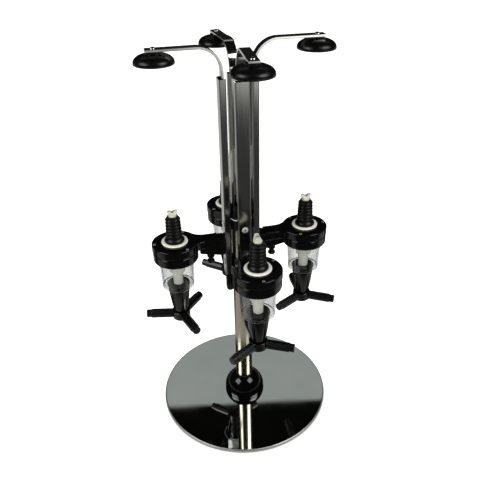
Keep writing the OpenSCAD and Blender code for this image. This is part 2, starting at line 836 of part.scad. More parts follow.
// Clear measuring cup: flange, tapered wall, slanted foot and a hole for the spout
module cups() {
  foot_z = cup_z + cup_chamfer_h;
  flange_top = head_z;
  color([0.86, 0.9, 0.92, 0.5]) for (i = [0:3]) on_axis(i) rotate_extrude() polygon([
    [spout_hole_r, cup_z],
    [cup_mouth_r + 0.6, cup_z],
    [cup_foot_r, foot_z],
    [cup_r, ring_z],
    [cup_r, flange_top - cup_flange_h],
    [cup_flange_r, flange_top - cup_flange_h],
    [cup_flange_r, flange_top],
    [cup_r - cup_t, flange_top],
    [cup_r - cup_t, ring_z],
    [cup_foot_r - cup_t, foot_z + 0.5],
    [cup_mouth_r, cup_z + cup_floor_t],
    [spout_hole_r, cup_z + cup_floor_t]
  ]);
}

// Cream ring between head and stopper
module gaskets() {
  bore = inlet_r + fix_play;
  round_x = gasket_d / 2 - gasket_round;
  round_z = gasket_t - gasket_round;
  color("ivory") for (i = [0:3]) on_axis(i) translate([0, 0, head_top]) rotate_extrude() {
    translate([bore, 0]) square([round_x - bore, gasket_t]);
    translate([bore, 0]) square([gasket_d / 2 - bore, round_z]);
    translate([round_x, round_z]) circle(gasket_round);
  }
}

// Radius over a stopper's rib, counted from the lowest
function rib_out(k) = low_rib_r - (low_rib_r - rib_r) * k / (ribs - 1);

// Ribbed rubber stopper that goes into a bottle's neck
module stoppers() {
  bore = inlet_r + fix_play;
  flare_z = stopper_foot_h;
  rib_z = flare_z + flare_h;
  nose_z = stopper_h - nose_h;
  color("#141414") for (i = [0:3]) on_axis(i) translate([0, 0, gasket_top]) rotate_extrude() difference() {
    union() {
      polygon([
        [bore, 0],
        [stopper_d / 2 - foot_round, 0],
        [stopper_d / 2, foot_round],
        [stopper_d / 2, flare_z - foot_round],
        [stopper_d / 2 - foot_round, flare_z],
        [low_rib_r, rib_z],
        [low_rib_r - rib_depth, rib_z],
        [rib_core_r, nose_z],
        [inlet_r + 1.6, stopper_h],
        [bore, stopper_h]
      ]);
      for (k = [0:ribs - 1]) translate([rib_out(k) - rib_bead_r, rib_z + (k + 0.55) * rib_pitch])
        circle(rib_bead_r, $fn = 32);
    }
    translate([0, -1]) square([bore, stopper_h + 2]);
  }
}

// Ivory tube through stopper and head, its tip cut to a chisel with a notch
module inlet_tubes() {
  low_z = inlet_flange_z;
  tip_z = stopper_top + 1;
  cut = atan2(inlet_r - tip_edge / 2, inlet_top - tip_z);
  color("ivory") for (i = [0:3]) on_axis(i) difference() {
    union() {
      translate([0, 0, low_z]) cylinder(r = inlet_flange_r, h = inlet_flange_h);
      translate([0, 0, low_z]) cylinder(r = inlet_r, h = tip_z - low_z);
      translate([0, 0, tip_z - eps])
        cylinder(r1 = inlet_r, r2 = inlet_r + tip_spread, h = inlet_top - tip_z);
    }
    translate([0, 0, low_z - eps]) cylinder(r = inlet_bore_d / 2, h = inlet_top);
    for (s = [0, 180]) rotate([0, 0, s]) translate([0, -inlet_r, tip_z]) rotate([-cut, 0, 0])
      translate([-inlet_d, -inlet_d, 0]) cube([2 * inlet_d, inlet_d, 2 * inlet_d]);
    translate([0, 0, inlet_top]) rotate([0, 45, 0])
      cube([tip_notch, 2 * inlet_d, tip_notch], center = true);
  }
}

// Radius of a spout at a share of its height, from its mouth up to its straight top
function spout_radius(t) = mouth_r + (spout_top_r - mouth_r) * (1 - pow(1 - t, SPOUT_POWER));

// Black bullet-shaped spout with flutes, seated on the floor of its cup
module spouts() {
  cone_h = spout_cone_z - mouth_z;
  steps = 12;
  low_r = spout_radius(flute_z / cone_h);
  flute_h = cone_h - flute_z - flute_end;
  slope = atan2(spout_radius(1 - flute_end / cone_h) - low_r, flute_h);
  color("#121212") for (i = [0:3]) on_axis(i) difference() {
    union() {
      translate([0, 0, cup_z + cup_floor_t]) cylinder(r = spout_flange_r, h = spout_flange_h);
      rotate_extrude() polygon(concat(
        [[0, mouth_z]],
        [for (k = [0:steps]) [spout_radius(k / steps), mouth_z + cone_h * k / steps]],
        [[spout_top_r, spout_flange_top - spout_flange_h / 2], [0, spout_flange_top - spout_flange_h / 2]]
      ));
    }
    translate([0, 0, mouth_z - eps]) cylinder(r = spout_bore_r, h = spout_flange_top - mouth_z + 1);
    translate([0, 0, mouth_z - eps]) cylinder(r = mouth_bore_r, h = mouth_bore_h);
    for (k = [0:flutes - 1]) rotate([0, 0, 360 * k / flutes])
      translate([low_r + flute_r - flute_inset, 0, mouth_z + flute_z]) rotate([0, slope, 0])
        cylinder(r = flute_r, h = flute_h / cos(slope), $fn = 24);
  }
}

// Flat strip arm: a leg in the channel, a bend and a reach over the bottle
module arm(i) {
  color("#b9bab8") on_arm(i) difference() {
    union() {
      translate([leg_inner, -strip_w / 2, leg_z]) cube([strip_t, strip_w, bend_z - leg_z]);
      translate([bend_x, -strip_w / 2, arm_under]) cube([arm_end - bend_x, strip_w, strip_t]);
      translate([bend_x, strip_w / 2, bend_z]) rotate([90, 0, 0]) rotate([0, 0, 90])
        rotate_extrude(angle = 90, $fn = 96) translate([bend_r, 0]) square([strip_t, strip_w]);
    }
    translate([reach_r, 0, arm_under - 1])
      cylinder(r = presser_screw_d / 2 + fix_play, h = strip_t + 2);
    rod_x(hook_hole_r, leg_inner - 1, strip_t + 2, 0, leg_hook_z);
  }
}

// Quarter of a full dome of radius r and height h, with a flat crown and round shoulders
module dome_quarter(r, h) {
  polygon(concat([[0, 0]], [
    for (a = [0:7.5:90]) [r * pow(cos(a), DOME_POWER), h * pow(sin(a), DOME_POWER)]
  ]));
}

// Black dome that presses on a bottle's base, round at its rim and hollow below
module presser(i) {
  lip_x = presser_r - presser_lip_r;
  hollow_h = presser_h - crown_t;
  color("#131313") on_arm(i) translate([reach_r, 0, 0]) difference() {
    translate([0, 0, presser_rim]) rotate_extrude() difference() {
      union() {
        translate([0, presser_lip_r]) dome_quarter(presser_r, presser_h - presser_lip_r);
        translate([lip_x, presser_lip_r]) circle(presser_lip_r, $fn = 48);
        square([lip_x, presser_lip_r + eps]);
        translate([0, presser_h / 2]) square([boss_d / 2, presser_h / 2 + boss_h]);
      }
      translate([0, -eps]) polygon(concat([[0, 0]], [
        for (a = [0:7.5:90]) [(presser_r - presser_t) * cos(a), hollow_h * sin(a)]
      ]));
      translate([-presser_d, -1]) square([presser_d, 2 * presser_h]);
    }
    translate([0, 0, arm_top - presser_screw_h - 0.3])
      cylinder(r = presser_screw_d / 2 + fix_play, h = presser_screw_h);
  }
}

// Dome-headed screw through an arm into its presser
module presser_screw(i) {
  ball_r = (pow(presser_head_r, 2) + pow(presser_head_h, 2)) / (2 * presser_head_h);
  color("whitesmoke") on_arm(i) translate([reach_r, 0, arm_top]) difference() {
    union() {
      translate([0, 0, -presser_screw_h]) cylinder(r = presser_screw_d / 2, h = presser_screw_h + eps);
      intersection() {
        translate([0, 0, presser_head_h - ball_r]) sphere(ball_r);
        cylinder(r = presser_head_r, h = presser_head_h);
      }
    }
    translate([0, 0, presser_head_h]) cross_recess(presser_recess_w, 1);
  }
}

module tension_spring(i) {
  color("gray") at_station(i) wire(tension_path(ARM_REST[i]), wire_r);
}

// White valve stem with a collar above, a foot on the spout's flange and a rod down to the trigger
module valve_stem(i) {
  bead_z = rod_z + 1;
  collar_low = stem_top - stem_collar_h;
  color("ivory") on_axis(i) {
    translate([0, 0, stem_z]) cylinder(r1 = stem_r - stem_taper, r2 = stem_r, h = collar_low - stem_z);
    translate([0, 0, collar_low]) cylinder(d = stem_collar_d, h = stem_collar_h);
    translate([0, 0, collar_low - stem_cone_h])
      cylinder(r1 = stem_r - stem_taper, r2 = stem_collar_d / 2 - 1, h = stem_cone_h + eps);
    translate([0, 0, rod_z]) cylinder(d = rod_d, h = stem_z - rod_z + eps);
    translate([0, 0, bead_z]) cylinder(r = rod_d / 2 + bead_out, h = bead_h);
  }
}

module return_spring(i) {
  color("gray") on_axis(i) wire(return_path(), return_wire_d / 2);
}

// Three-pronged trigger, free to turn on the stem's rod
module trigger(i) {
  bead_z = rod_z + 1;
  outlet_r = (socket_r + hub_ring_bore_r) / 2;
  color("#0d0d0d") on_axis(i) rotate([0, 0, TRIGGER_TURN[i]]) difference() {
    union() {
      ring(hub_ring_r, hub_ring_bore_r, trigger_z, hub_ring_h);
      translate([0, 0, trigger_z]) cylinder(r = hub_ring_r - 0.1, h = trigger_floor_t);
      translate([0, 0, trigger_z]) cylinder(r = socket_r, h = socket_h);
      for (a = [0, 120, 240]) rotate([0, 0, a]) translate([0, 0, trigger_axis_z]) rotate([0, 90, 0])
        rotate([0, 0, 22.5]) prong();
    }
    translate([0, 0, rod_z - rest_gap]) cylinder(r = rod_d / 2 + run_play, h = socket_h + 1);
    translate([0, 0, bead_z - 0.2]) cylinder(r = rod_d / 2 + bead_out + run_play, h = bead_h + 0.4);
    for (a = [60, 180, 300]) rotate([0, 0, a]) translate([outlet_r, 0, trigger_z - eps])
      cylinder(d = outlet_d, h = trigger_floor_t + 2 * eps, $fn = 24);
  }
}

// One eight-sided prong with its narrower tip, along +Z from the wall of the hub
module prong() {
  root = hub_ring_bore_r + 0.4;
  tip = prong_reach - prong_tip_h;
  translate([0, 0, root]) cylinder(r = prong_r, h = tip - root, $fn = 8);
  translate([0, 0, root]) cylinder(r = prong_tip_r, h = prong_reach - root, $fn = 8);
}

// Thumb screw from below, through the bracket into the head's tail
module thumb_screw(i) {
  neck_r = thumb_d / 2 + 0.4;
  round_r = 1.4;
  color("#0b0b0b") at_station(i) translate([thumb_x, 0, 0]) {
    translate([0, 0, knob_top - eps]) cylinder(d = thumb_d, h = thumb_top - knob_top);
    translate([0, 0, knob_top - eps]) cylinder(r = neck_r, h = thumb_boss_z - rest_gap - knob_top);
    translate([0, 0, knob_top - knob_h]) rotate_extrude() {
      square([knob_d / 2 - round_r, knob_h]);
      translate([0, round_r]) square([knob_d / 2, knob_h - 2 * round_r]);
      for (z = [round_r, knob_h - round_r]) translate([knob_d / 2 - round_r, z]) circle(round_r, $fn = 32);
    }
  }
}

base_plate();
base_ballast();
base_pad();
post_tube();
post_collar();
post_plug();
post_bolt();
thrust_washer();
upper_hub();
lower_hub();
hub_cap();
cap_screws();
channel_screws();
brackets();
bracket_screws();
heads();
head_screws();
clamp_rings();
cups();
gaskets();
stoppers();
inlet_tubes();
spouts();
for (i = [0:3]) {
  channel(i);
  arm(i);
  presser(i);
  presser_screw(i);
  tension_spring(i);
  valve_stem(i);
  return_spring(i);
  trigger(i);
  thumb_screw(i);
}
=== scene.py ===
"""Rotary stand for four upturned bottles: a polished round base, a post, and a column that turns on it
and carries four measuring dispensers and four sprung arms. Metres, +Z up, in the frame of the solids."""
import bpy
import math
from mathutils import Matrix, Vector


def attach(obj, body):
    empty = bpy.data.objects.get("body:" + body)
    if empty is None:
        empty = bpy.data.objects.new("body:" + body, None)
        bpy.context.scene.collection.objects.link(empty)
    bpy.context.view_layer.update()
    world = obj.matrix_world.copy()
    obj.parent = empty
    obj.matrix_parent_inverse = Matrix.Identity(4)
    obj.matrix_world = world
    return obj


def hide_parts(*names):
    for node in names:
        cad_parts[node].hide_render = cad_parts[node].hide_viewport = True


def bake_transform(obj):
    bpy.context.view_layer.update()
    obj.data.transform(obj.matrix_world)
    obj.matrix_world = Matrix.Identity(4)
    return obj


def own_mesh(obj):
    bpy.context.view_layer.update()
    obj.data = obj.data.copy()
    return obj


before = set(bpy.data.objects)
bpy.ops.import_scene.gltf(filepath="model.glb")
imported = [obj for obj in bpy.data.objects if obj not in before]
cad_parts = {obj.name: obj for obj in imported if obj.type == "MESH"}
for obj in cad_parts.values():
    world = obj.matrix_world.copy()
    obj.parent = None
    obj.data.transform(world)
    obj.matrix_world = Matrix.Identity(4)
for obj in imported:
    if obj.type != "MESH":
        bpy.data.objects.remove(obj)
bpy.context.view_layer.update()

# Camera. It stands a little to the left of the front, above the arms, and looks down at the column.
bpy.ops.object.select_all(action="DESELECT")
bpy.ops.object.camera_add(
    location=(-0.13776, -0.62214, 0.65989),
    rotation=(math.radians(57.812), math.radians(0.621), math.radians(-13.902)),
)
camera = bpy.context.object
camera.data.lens = 40.207
camera.data.sensor_width = 36
bpy.context.scene.camera = camera
bpy.context.scene.view_settings.view_transform = "Standard"

# Lamps. Two soft boxes, left and right of the camera, give each round black piece its pair of highlights. A
# low fill panel lights the pale pieces under the heads from the front; it is kept out of reflections.
SOFT_BOXES = {
    "soft_box_left": (-74, 40, 7.5, True),
    "soft_box_right": (47, 46, 8.5, True),
    "fill_panel": (-12, 6, 9, False),
}
BOX_DISTANCE = 1.35
BOX_WIDTH = 0.72
BOX_HEIGHT = 0.62
BOX_AIM = Vector((0, 0, 0.25))
for name, (azimuth, elevation, watts, mirrored) in SOFT_BOXES.items():
    away = Vector((
        math.sin(math.radians(azimuth)) * math.cos(math.radians(elevation)),
        -math.cos(math.radians(azimuth)) * math.cos(math.radians(elevation)),
        math.sin(math.radians(elevation)),
    ))
    bpy.ops.object.light_add(
        type="AREA",
        location=BOX_AIM + away * BOX_DISTANCE,
        rotation=away.to_track_quat("Z", "Y").to_euler(),
    )
    lamp = bpy.context.object
    lamp.name = name
    lamp.data.shape = "RECTANGLE"
    lamp.data.size = BOX_WIDTH
    lamp.data.size_y = BOX_HEIGHT
    lamp.data.energy = watts
    lamp.visible_glossy = mirrored

# Room. What polished pieces mirror: dark walls, a pale panel behind the stand and a dark ceiling that starts
# at a straight edge about 47 degrees up, so the base shows a grey and a black half. Dull pieces get an even
# pale light. What the camera sees behind the stand, or through a clear cup, is plain white.
WALL = "191A19"
PANEL = "B4B8B5"
CEILING = "090907"
FILL = "C4C6C4"
PANEL_UP = (36, 40)
PANEL_BACK = (0.3, 0.5)
CEILING_EDGE = (-0.204, -1.078, 1)
EDGE_BLUR = (-0.008, 0.002)
PANEL_PATCHES = 5


def paint(code):
    """An sRGB hex colour as linear red, green, blue and alpha."""
    parts = [int(code[i:i + 2], 16) / 255 for i in (0, 2, 4)]
    return [p / 12.92 if p <= 0.04045 else ((p + 0.055) / 1.055) ** 2.4 for p in parts] + [1]


def add_node(owner, kind, sockets=None, **settings):
    """Adds a node to a material or world. Settings are its properties; a socket gets a value or a link."""
    node = owner.node_tree.nodes.new(kind)
    for key, value in settings.items():
        setattr(node, key, value)
    for key, value in (sockets or {}).items():
        if isinstance(value, bpy.types.NodeSocket):
            owner.node_tree.links.new(value, node.inputs[key])
        else:
            node.inputs[key].default_value = value
    return node


room = bpy.data.worlds.new("studio_room")
bpy.context.scene.world = room
room.use_nodes = True
room.node_tree.nodes.clear()
heading = add_node(room, "ShaderNodeTexCoord").outputs["Generated"]
axes = add_node(room, "ShaderNodeSeparateXYZ", {"Vector": heading})
rising = add_node(room, "ShaderNodeMapRange", {
    "Value": axes.outputs["Z"],
    "From Min": math.sin(math.radians(PANEL_UP[0])),
    "From Max": math.sin(math.radians(PANEL_UP[1])),
}).outputs["Result"]
behind = add_node(room, "ShaderNodeMapRange", {
    "Value": axes.outputs["Y"],
    "From Min": PANEL_BACK[0],
    "From Max": PANEL_BACK[1],
}).outputs["Result"]
panel_share = add_node(room, "ShaderNodeMath", {
    0: rising,
    1: behind,
}, operation="MULTIPLY").outputs["Value"]
clouds = add_node(room, "ShaderNodeTexNoise", {
    "Vector": heading,
    "Scale": PANEL_PATCHES,
    "Detail": 2,
}).outputs["Fac"]
uneven = add_node(room, "ShaderNodeMixRGB", {
    "Fac": clouds,
    "Color1": paint("A2A7A4"),
    "Color2": paint(PANEL),
}).outputs["Color"]
walls = add_node(room, "ShaderNodeMixRGB", {
    "Fac": panel_share,
    "Color1": paint(WALL),
    "Color2": uneven,
}).outputs["Color"]
over_edge = add_node(room, "ShaderNodeVectorMath", {0: heading, 1: CEILING_EDGE}, operation="DOT_PRODUCT")
ceiling_share = add_node(room, "ShaderNodeMapRange", {
    "Value": over_edge.outputs["Value"],
    "From Min": EDGE_BLUR[0],
    "From Max": EDGE_BLUR[1],
}).outputs["Result"]
surroundings = add_node(room, "ShaderNodeMixRGB", {
    "Fac": ceiling_share,
    "Color1": walls,
    "Color2": paint(CEILING),
}).outputs["Color"]
seen = add_node(room, "ShaderNodeLightPath")
direct = add_node(room, "ShaderNodeMath", {
    0: seen.outputs["Is Camera Ray"],
    1: seen.outputs["Is Transmission Ray"],
}, operation="MAXIMUM").outputs["Value"]
around = add_node(room, "ShaderNodeMixRGB", {
    "Fac": seen.outputs["Is Glossy Ray"],
    "Color1": paint(FILL),
    "Color2": surroundings,
}).outputs["Color"]
dim = add_node(room, "ShaderNodeBackground", {"Color": around, "Strength": 1})
white = add_node(room, "ShaderNodeBackground", {"Color": paint("FFFFFF"), "Strength": 1})
mixed = add_node(room, "ShaderNodeMixShader", {
    0: direct,
    1: dim.outputs["Background"],
    2: white.outputs["Background"],
})
add_node(room, "ShaderNodeOutputWorld", {"Surface": mixed.outputs["Shader"]})

# Floor. A wide pale sheet, plain white further out; its glow is turned down in a thin band at the front of
# the base, a painted shadow that the rim's real shadow deepens.
# Polished pieces mirror it as white at the sides and further behind, with a dark stretch towards the camera
# and a painted shadow of the stand just behind it.
FLOOR_SIZE = 12
SHADOW_SHIFT = 0.006
SHADOW_EDGE = (0.122, 0.1285)
SHADOW_LIGHT = 0.25
NEAR_Y = (-0.26, -0.16)
NEAR_LIGHT = (0.055, 0.6)
STAND_Y = (0.11, 0.14)
STAND_LIGHT = (1, 0.12)
BEHIND_Y = (0.3, 0.36)
FAR_Y = (-1.95, -1.3)
RIGHT_X = (0.23, 0.9)
RIGHT_LIGHT = (0.45, 1.9)
bpy.ops.object.select_all(action="DESELECT")
bpy.ops.mesh.primitive_plane_add(size=FLOOR_SIZE)
floor = bpy.context.object
floor.name = "floor_sheet"
sheet = bpy.data.materials.new("white_paper_sweep")
sheet.use_nodes = True
sheet.node_tree.nodes.clear()
spot = add_node(sheet, "ShaderNodeTexCoord").outputs["Object"]
shifted = add_node(sheet, "ShaderNodeVectorMath", {0: spot, 1: (0, SHADOW_SHIFT, 0)}, operation="ADD")
reach = add_node(sheet, "ShaderNodeVectorMath", {0: shifted.outputs["Vector"]}, operation="LENGTH")
# Painted shadow: the white glow falls to a quarter in a ring shifted to the front of the base.
painted_shadow_glow = add_node(sheet, "ShaderNodeMapRange", {
    "Value": reach.outputs["Value"],
    "From Min": SHADOW_EDGE[0],
    "From Max": SHADOW_EDGE[1],
    "To Min": SHADOW_LIGHT,
    "To Max": 1,
}).outputs["Result"]
place = add_node(sheet, "ShaderNodeSeparateXYZ", {"Vector": spot})
near_edge = add_node(sheet, "ShaderNodeMapRange", {
    "Value": place.outputs["Y"],
    "From Min": NEAR_Y[0],
    "From Max": NEAR_Y[1],
    "To Min": NEAR_LIGHT[0],
    "To Max": NEAR_LIGHT[1],
}).outputs["Result"]
# Painted shadow of the stand: the mirrored floor is dark in a strip just behind it.
stand_shade = add_node(sheet, "ShaderNodeMapRange", {
    "Value": place.outputs["Y"],
    "From Min": STAND_Y[0],
    "From Max": STAND_Y[1],
    "To Min": STAND_LIGHT[0],
    "To Max": STAND_LIGHT[1],
}).outputs["Result"]
shade_end = add_node(sheet, "ShaderNodeMapRange", {
    "Value": place.outputs["Y"],
    "From Min": BEHIND_Y[0],
    "From Max": BEHIND_Y[1],
}).outputs["Result"]
shade = add_node(sheet, "ShaderNodeMath", {
    0: stand_shade,
    1: shade_end,
}, operation="MAXIMUM").outputs["Value"]
near_light = add_node(sheet, "ShaderNodeMath", {
    0: near_edge,
    1: shade,
}, operation="MULTIPLY").outputs["Value"]
far_edge = add_node(sheet, "ShaderNodeMapRange", {
    "Value": place.outputs["Y"],
    "From Min": FAR_Y[0],
    "From Max": FAR_Y[1],
    "To Min": 1,
    "To Max": 0,
}).outputs["Result"]
right_side = add_node(sheet, "ShaderNodeMapRange", {
    "Value": place.outputs["X"],
    "From Min": RIGHT_X[0],
    "From Max": RIGHT_X[1],
    "To Min": RIGHT_LIGHT[0],
    "To Max": RIGHT_LIGHT[1],
}).outputs["Result"]
far_light = add_node(sheet, "ShaderNodeMath", {
    0: far_edge,
    1: right_side,
}, operation="MULTIPLY").outputs["Value"]
mirrored = add_node(sheet, "ShaderNodeMath", {
    0: near_light,
    1: far_light,
}, operation="MAXIMUM").outputs["Value"]
seen = add_node(sheet, "ShaderNodeLightPath")
direct = add_node(sheet, "ShaderNodeMath", {
    0: seen.outputs["Is Camera Ray"],
    1: seen.outputs["Is Transmission Ray"],
}, operation="MAXIMUM").outputs["Value"]
glow = add_node(sheet, "ShaderNodeMath", {
    0: painted_shadow_glow,
    1: direct,
}, operation="MULTIPLY").outputs["Value"]
matt = add_node(sheet, "ShaderNodeBsdfDiffuse", {"Color": paint("E6E6E4")})
bright = add_node(sheet, "ShaderNodeEmission", {"Color": paint("FFFFFF"), "Strength": glow})
both = add_node(sheet, "ShaderNodeAddShader", {0: matt.outputs["BSDF"], 1: bright.outputs["Emission"]})
shown = add_node(sheet, "ShaderNodeEmission", {"Color": paint("F4F4F0"), "Strength": mirrored})
reflected = add_node(sheet, "ShaderNodeMath", {
    0: seen.outputs["Is Glossy Ray"],
    1: seen.outputs["Is Transmission Ray"],
}, operation="SUBTRACT", use_clamp=True).outputs["Value"]
sides = add_node(sheet, "ShaderNodeMixShader", {
    0: reflected,
    1: both.outputs["Shader"],
    2: shown.outputs["Emission"],
})
add_node(sheet, "ShaderNodeOutputMaterial", {"Surface": sides.outputs["Shader"]})
floor.data.materials.append(sheet)

# Pad under the base: closed-cell foam, cut as a disc and glued on. It stands on the table, and its cut cells
# show as a dull grain, drawn coarser than it is so that it can be seen.
MM = 0.001
CELL_SIZE = 1.2


def new_material(name):
    """An empty node material, and the Object coordinates that its patterns lie on."""
    material = bpy.data.materials.new(name)
    material.use_nodes = True
    material.node_tree.nodes.clear()
    return material, add_node(material, "ShaderNodeTexCoord").outputs["Object"]


def dress(piece, material):
    """Gives a piece or a solid its one finish."""
    piece.data.materials.clear()
    piece.data.materials.append(material)


foam, where = new_material("black_closed_cell_foam")
cells = add_node(foam, "ShaderNodeTexVoronoi", {"Vector": where, "Scale": 1 / (CELL_SIZE * MM)})
tone = add_node(foam, "ShaderNodeMixRGB", {
    "Fac": cells.outputs["Distance"],
    "Color1": paint("1A1A1B"),
    "Color2": paint("2A2A2B"),
}).outputs["Color"]
pits = add_node(foam, "ShaderNodeBump", {
    "Height": cells.outputs["Distance"],
    "Strength": 0.4,
    "Distance": 0.2 * MM,
}).outputs["Normal"]
surface = add_node(foam, "ShaderNodeBsdfPrincipled", {
    "Base Color": tone,
    "Roughness": 0.9,
    "Normal": pits,
})
add_node(foam, "ShaderNodeOutputMaterial", {"Surface": surface.outputs["BSDF"]})
dress(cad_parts["base_pad"], foam)

# Weight disc inside the pan: cast iron, left as it came from the sand, with one coat of grey primer. The
# bolt of the post holds it. The grain of the sand is drawn coarser than it is.
SAND_SIZE = 1.5
cast, where = new_material("primed_cast_iron")
sand = add_node(cast, "ShaderNodeTexNoise", {
    "Vector": where,
    "Scale": 1 / (SAND_SIZE * MM),
    "Detail": 6,
}).outputs["Fac"]
tone = add_node(cast, "ShaderNodeMixRGB", {
    "Fac": sand,
    "Color1": paint("3A3B3C"),
    "Color2": paint("5A5B5A"),
}).outputs["Color"]
grain = add_node(cast, "ShaderNodeBump", {
    "Height": sand,
    "Strength": 0.5,
    "Distance": 0.3 * MM,
}).outputs["Normal"]
surface = add_node(cast, "ShaderNodeBsdfPrincipled", {
    "Base Color": tone,
    "Metallic": 0.4,
    "Roughness": 0.7,
    "Normal": grain,
})
add_node(cast, "ShaderNodeOutputMaterial", {"Surface": surface.outputs["BSDF"]})
dress(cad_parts["base_ballast"], cast)

# Base pan: steel sheet pressed to a flat disc, its edge rounded down to a short skirt, then polished and
# chrome plated. It mirrors the room and the post, with faint haze and a slight wave; its edge is worn dull.
BASE_R = 125
BASE_TOP = 6
EDGE_R = 2.2
BOLT_HOLE_R = 3.1
SHEET_LOW = 4.8
SKIRT_LOW = 1.4


def arc(x, z, width, height, start, stop, count):
    """Points along part of an ellipse, in millimetres; the angles are in degrees from outwards."""
    turns = [math.radians(start + (stop - start) * k / count) for k in range(count + 1)]
    return [(x + width * math.cos(t), z + height * math.sin(t)) for t in turns]


def even_normals(piece):
    """Keeps large flat faces flat in the light where they meet rounded edges."""
    even = piece.modifiers.new("even_normals", "WEIGHTED_NORMAL")
    even.keep_sharp = True
    bpy.ops.object.modifier_apply(modifier="even_normals")
    return piece


def turned(name, section, steps=128):
    """A round piece: its half section is drawn out point by point and spun about the Z axis."""
    bpy.ops.object.select_all(action="DESELECT")
    bpy.ops.mesh.primitive_plane_add(size=MM)
    piece = bpy.context.object
    piece.name = piece.data.name = name
    bpy.ops.object.mode_set(mode="EDIT")
    bpy.ops.mesh.merge(type="CENTER")
    bpy.ops.transform.translate(value=(section[0][0] * MM, 0, section[0][1] * MM))
    for here, there in zip(section, section[1:]):
        step = ((there[0] - here[0]) * MM, 0, (there[1] - here[1]) * MM)
        bpy.ops.mesh.extrude_region_move(TRANSFORM_OT_translate={"value": step})
    bpy.ops.mesh.select_all(action="SELECT")
    bpy.ops.mesh.spin(steps=steps, angle=math.tau, center=(0, 0, 0), axis=(0, 0, 1))
    bpy.ops.mesh.select_all(action="SELECT")
    bpy.ops.mesh.remove_doubles(threshold=1e-6)
    bpy.ops.mesh.normals_make_consistent(inside=False)
    bpy.ops.object.mode_set(mode="OBJECT")
    bpy.ops.object.shade_smooth_by_angle(angle=math.radians(32))
    return even_normals(piece)


pan_section = [(r, BASE_TOP) for r in (BOLT_HOLE_R, 40, 80, BASE_R - EDGE_R - 0.2)]
pan_section += arc(BASE_R - EDGE_R, BASE_TOP - EDGE_R, EDGE_R, EDGE_R, 90, 0, 10)
pan_section += [(BASE_R, 1.7), (BASE_R - 0.3, SKIRT_LOW), (BASE_R - 1.2, 1.6), (BASE_R - 1.3, 4.2)]
pan_section += [(BASE_R - 3, SHEET_LOW), (BOLT_HOLE_R, SHEET_LOW), (BOLT_HOLE_R, BASE_TOP)]
base_pan = turned("base_pan", pan_section, 256)
WAVE_SIZE = 60
HAZE_SIZE = 45
chrome, where = new_material("polished_chrome_plate")
haze = add_node(chrome, "ShaderNodeTexNoise", {
    "Vector": where,
    "Scale": 1 / (HAZE_SIZE * MM),
    "Detail": 5,
}).outputs["Fac"]
polish = add_node(chrome, "ShaderNodeMapRange", {
    "Value": haze,
    "From Min": 0.3,
    "From Max": 0.75,
    "To Min": 0.015,
    "To Max": 0.04,
}).outputs["Result"]
reach = add_node(chrome, "ShaderNodeVectorMath", {0: where}, operation="LENGTH")
worn_band = ((BASE_R - EDGE_R) * MM, (BASE_R - EDGE_R / 2) * MM)
edge_wear = add_node(chrome, "ShaderNodeMapRange", {
    "Value": reach.outputs["Value"],
    "From Min": worn_band[0],
    "From Max": worn_band[1],
    "To Min": 0,
    "To Max": 0.4,
}).outputs["Result"]
worn = add_node(chrome, "ShaderNodeMath", {
    0: polish,
    1: edge_wear,
}, operation="ADD").outputs["Value"]
tone = add_node(chrome, "ShaderNodeMixRGB", {
    "Fac": haze,
    "Color1": paint("C3C7C5"),
    "Color2": paint("D2D4D3"),
}).outputs["Color"]
wave = add_node(chrome, "ShaderNodeTexNoise", {
    "Vector": where,
    "Scale": 1 / (WAVE_SIZE * MM),
    "Detail": 1,
}).outputs["Fac"]
ripple = add_node(chrome, "ShaderNodeBump", {
    "Height": wave,
    "Strength": 0.05,
    "Distance": 0.8 * MM,
}).outputs["Normal"]
surface = add_node(chrome, "ShaderNodeBsdfPrincipled", {
    "Base Color": tone,
    "Metallic": 1,
    "Roughness": worn,
    "Normal": ripple,
})
add_node(chrome, "ShaderNodeOutputMaterial", {"Surface": surface.outputs["BSDF"]})
dress(base_pan, chrome)
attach(base_pan, "base")
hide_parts("base_plate")

# Plug and bolt in the foot of the post: turned steel, zinc plated, like the screws of the cap, channels and
# brackets. The zinc is a grey-white metal with turning marks, drawn coarser than they are. Its recesses, and
# the edges where it meets other parts, are painted near black from an occlusion node: painted shade.
MARK_SIZE = 0.9
zinc, where = new_material("bright_zinc_plate")
marks = add_node(zinc, "ShaderNodeTexNoise", {
    "Vector": where,
    "Scale": 1 / (MARK_SIZE * MM),
    "Detail": 4,
}).outputs["Fac"]
polish = add_node(zinc, "ShaderNodeMapRange", {
    "Value": marks,
    "To Min": 0.3,
    "To Max": 0.45,
}).outputs["Result"]
tone = add_node(zinc, "ShaderNodeMixRGB", {
    "Fac": marks,
    "Color1": paint("CFCFCB"),
    "Color2": paint("ECECE9"),
}).outputs["Color"]
# Painted shade: near black where the occlusion node finds close surfaces, in recesses and at contacts.
cavity = add_node(zinc, "ShaderNodeAmbientOcclusion", {"Distance": 1.2 * MM})
unshaded_share = add_node(zinc, "ShaderNodeMapRange", {
    "Value": cavity.outputs["AO"],
    "From Min": 0.5,
    "From Max": 0.8,
}).outputs["Result"]
shaded_zinc_tone = add_node(zinc, "ShaderNodeMixRGB", {
    "Fac": unshaded_share,
    "Color1": paint("12110F"),
    "Color2": tone,
}).outputs["Color"]
scratch = add_node(zinc, "ShaderNodeBump", {
    "Height": marks,
    "Strength": 0.15,
    "Distance": 0.1 * MM,
}).outputs["Normal"]
surface = add_node(zinc, "ShaderNodeBsdfPrincipled", {
    "Base Color": shaded_zinc_tone,
    "Metallic": 0.6,
    "Roughness": polish,
    "Normal": scratch,
})
add_node(zinc, "ShaderNodeOutputMaterial", {"Surface": surface.outputs["BSDF"]})
for name in ("post_plug", "post_bolt", "cap_screws", "channel_screws", "bracket_screws"):
    dress(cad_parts[name], zinc)

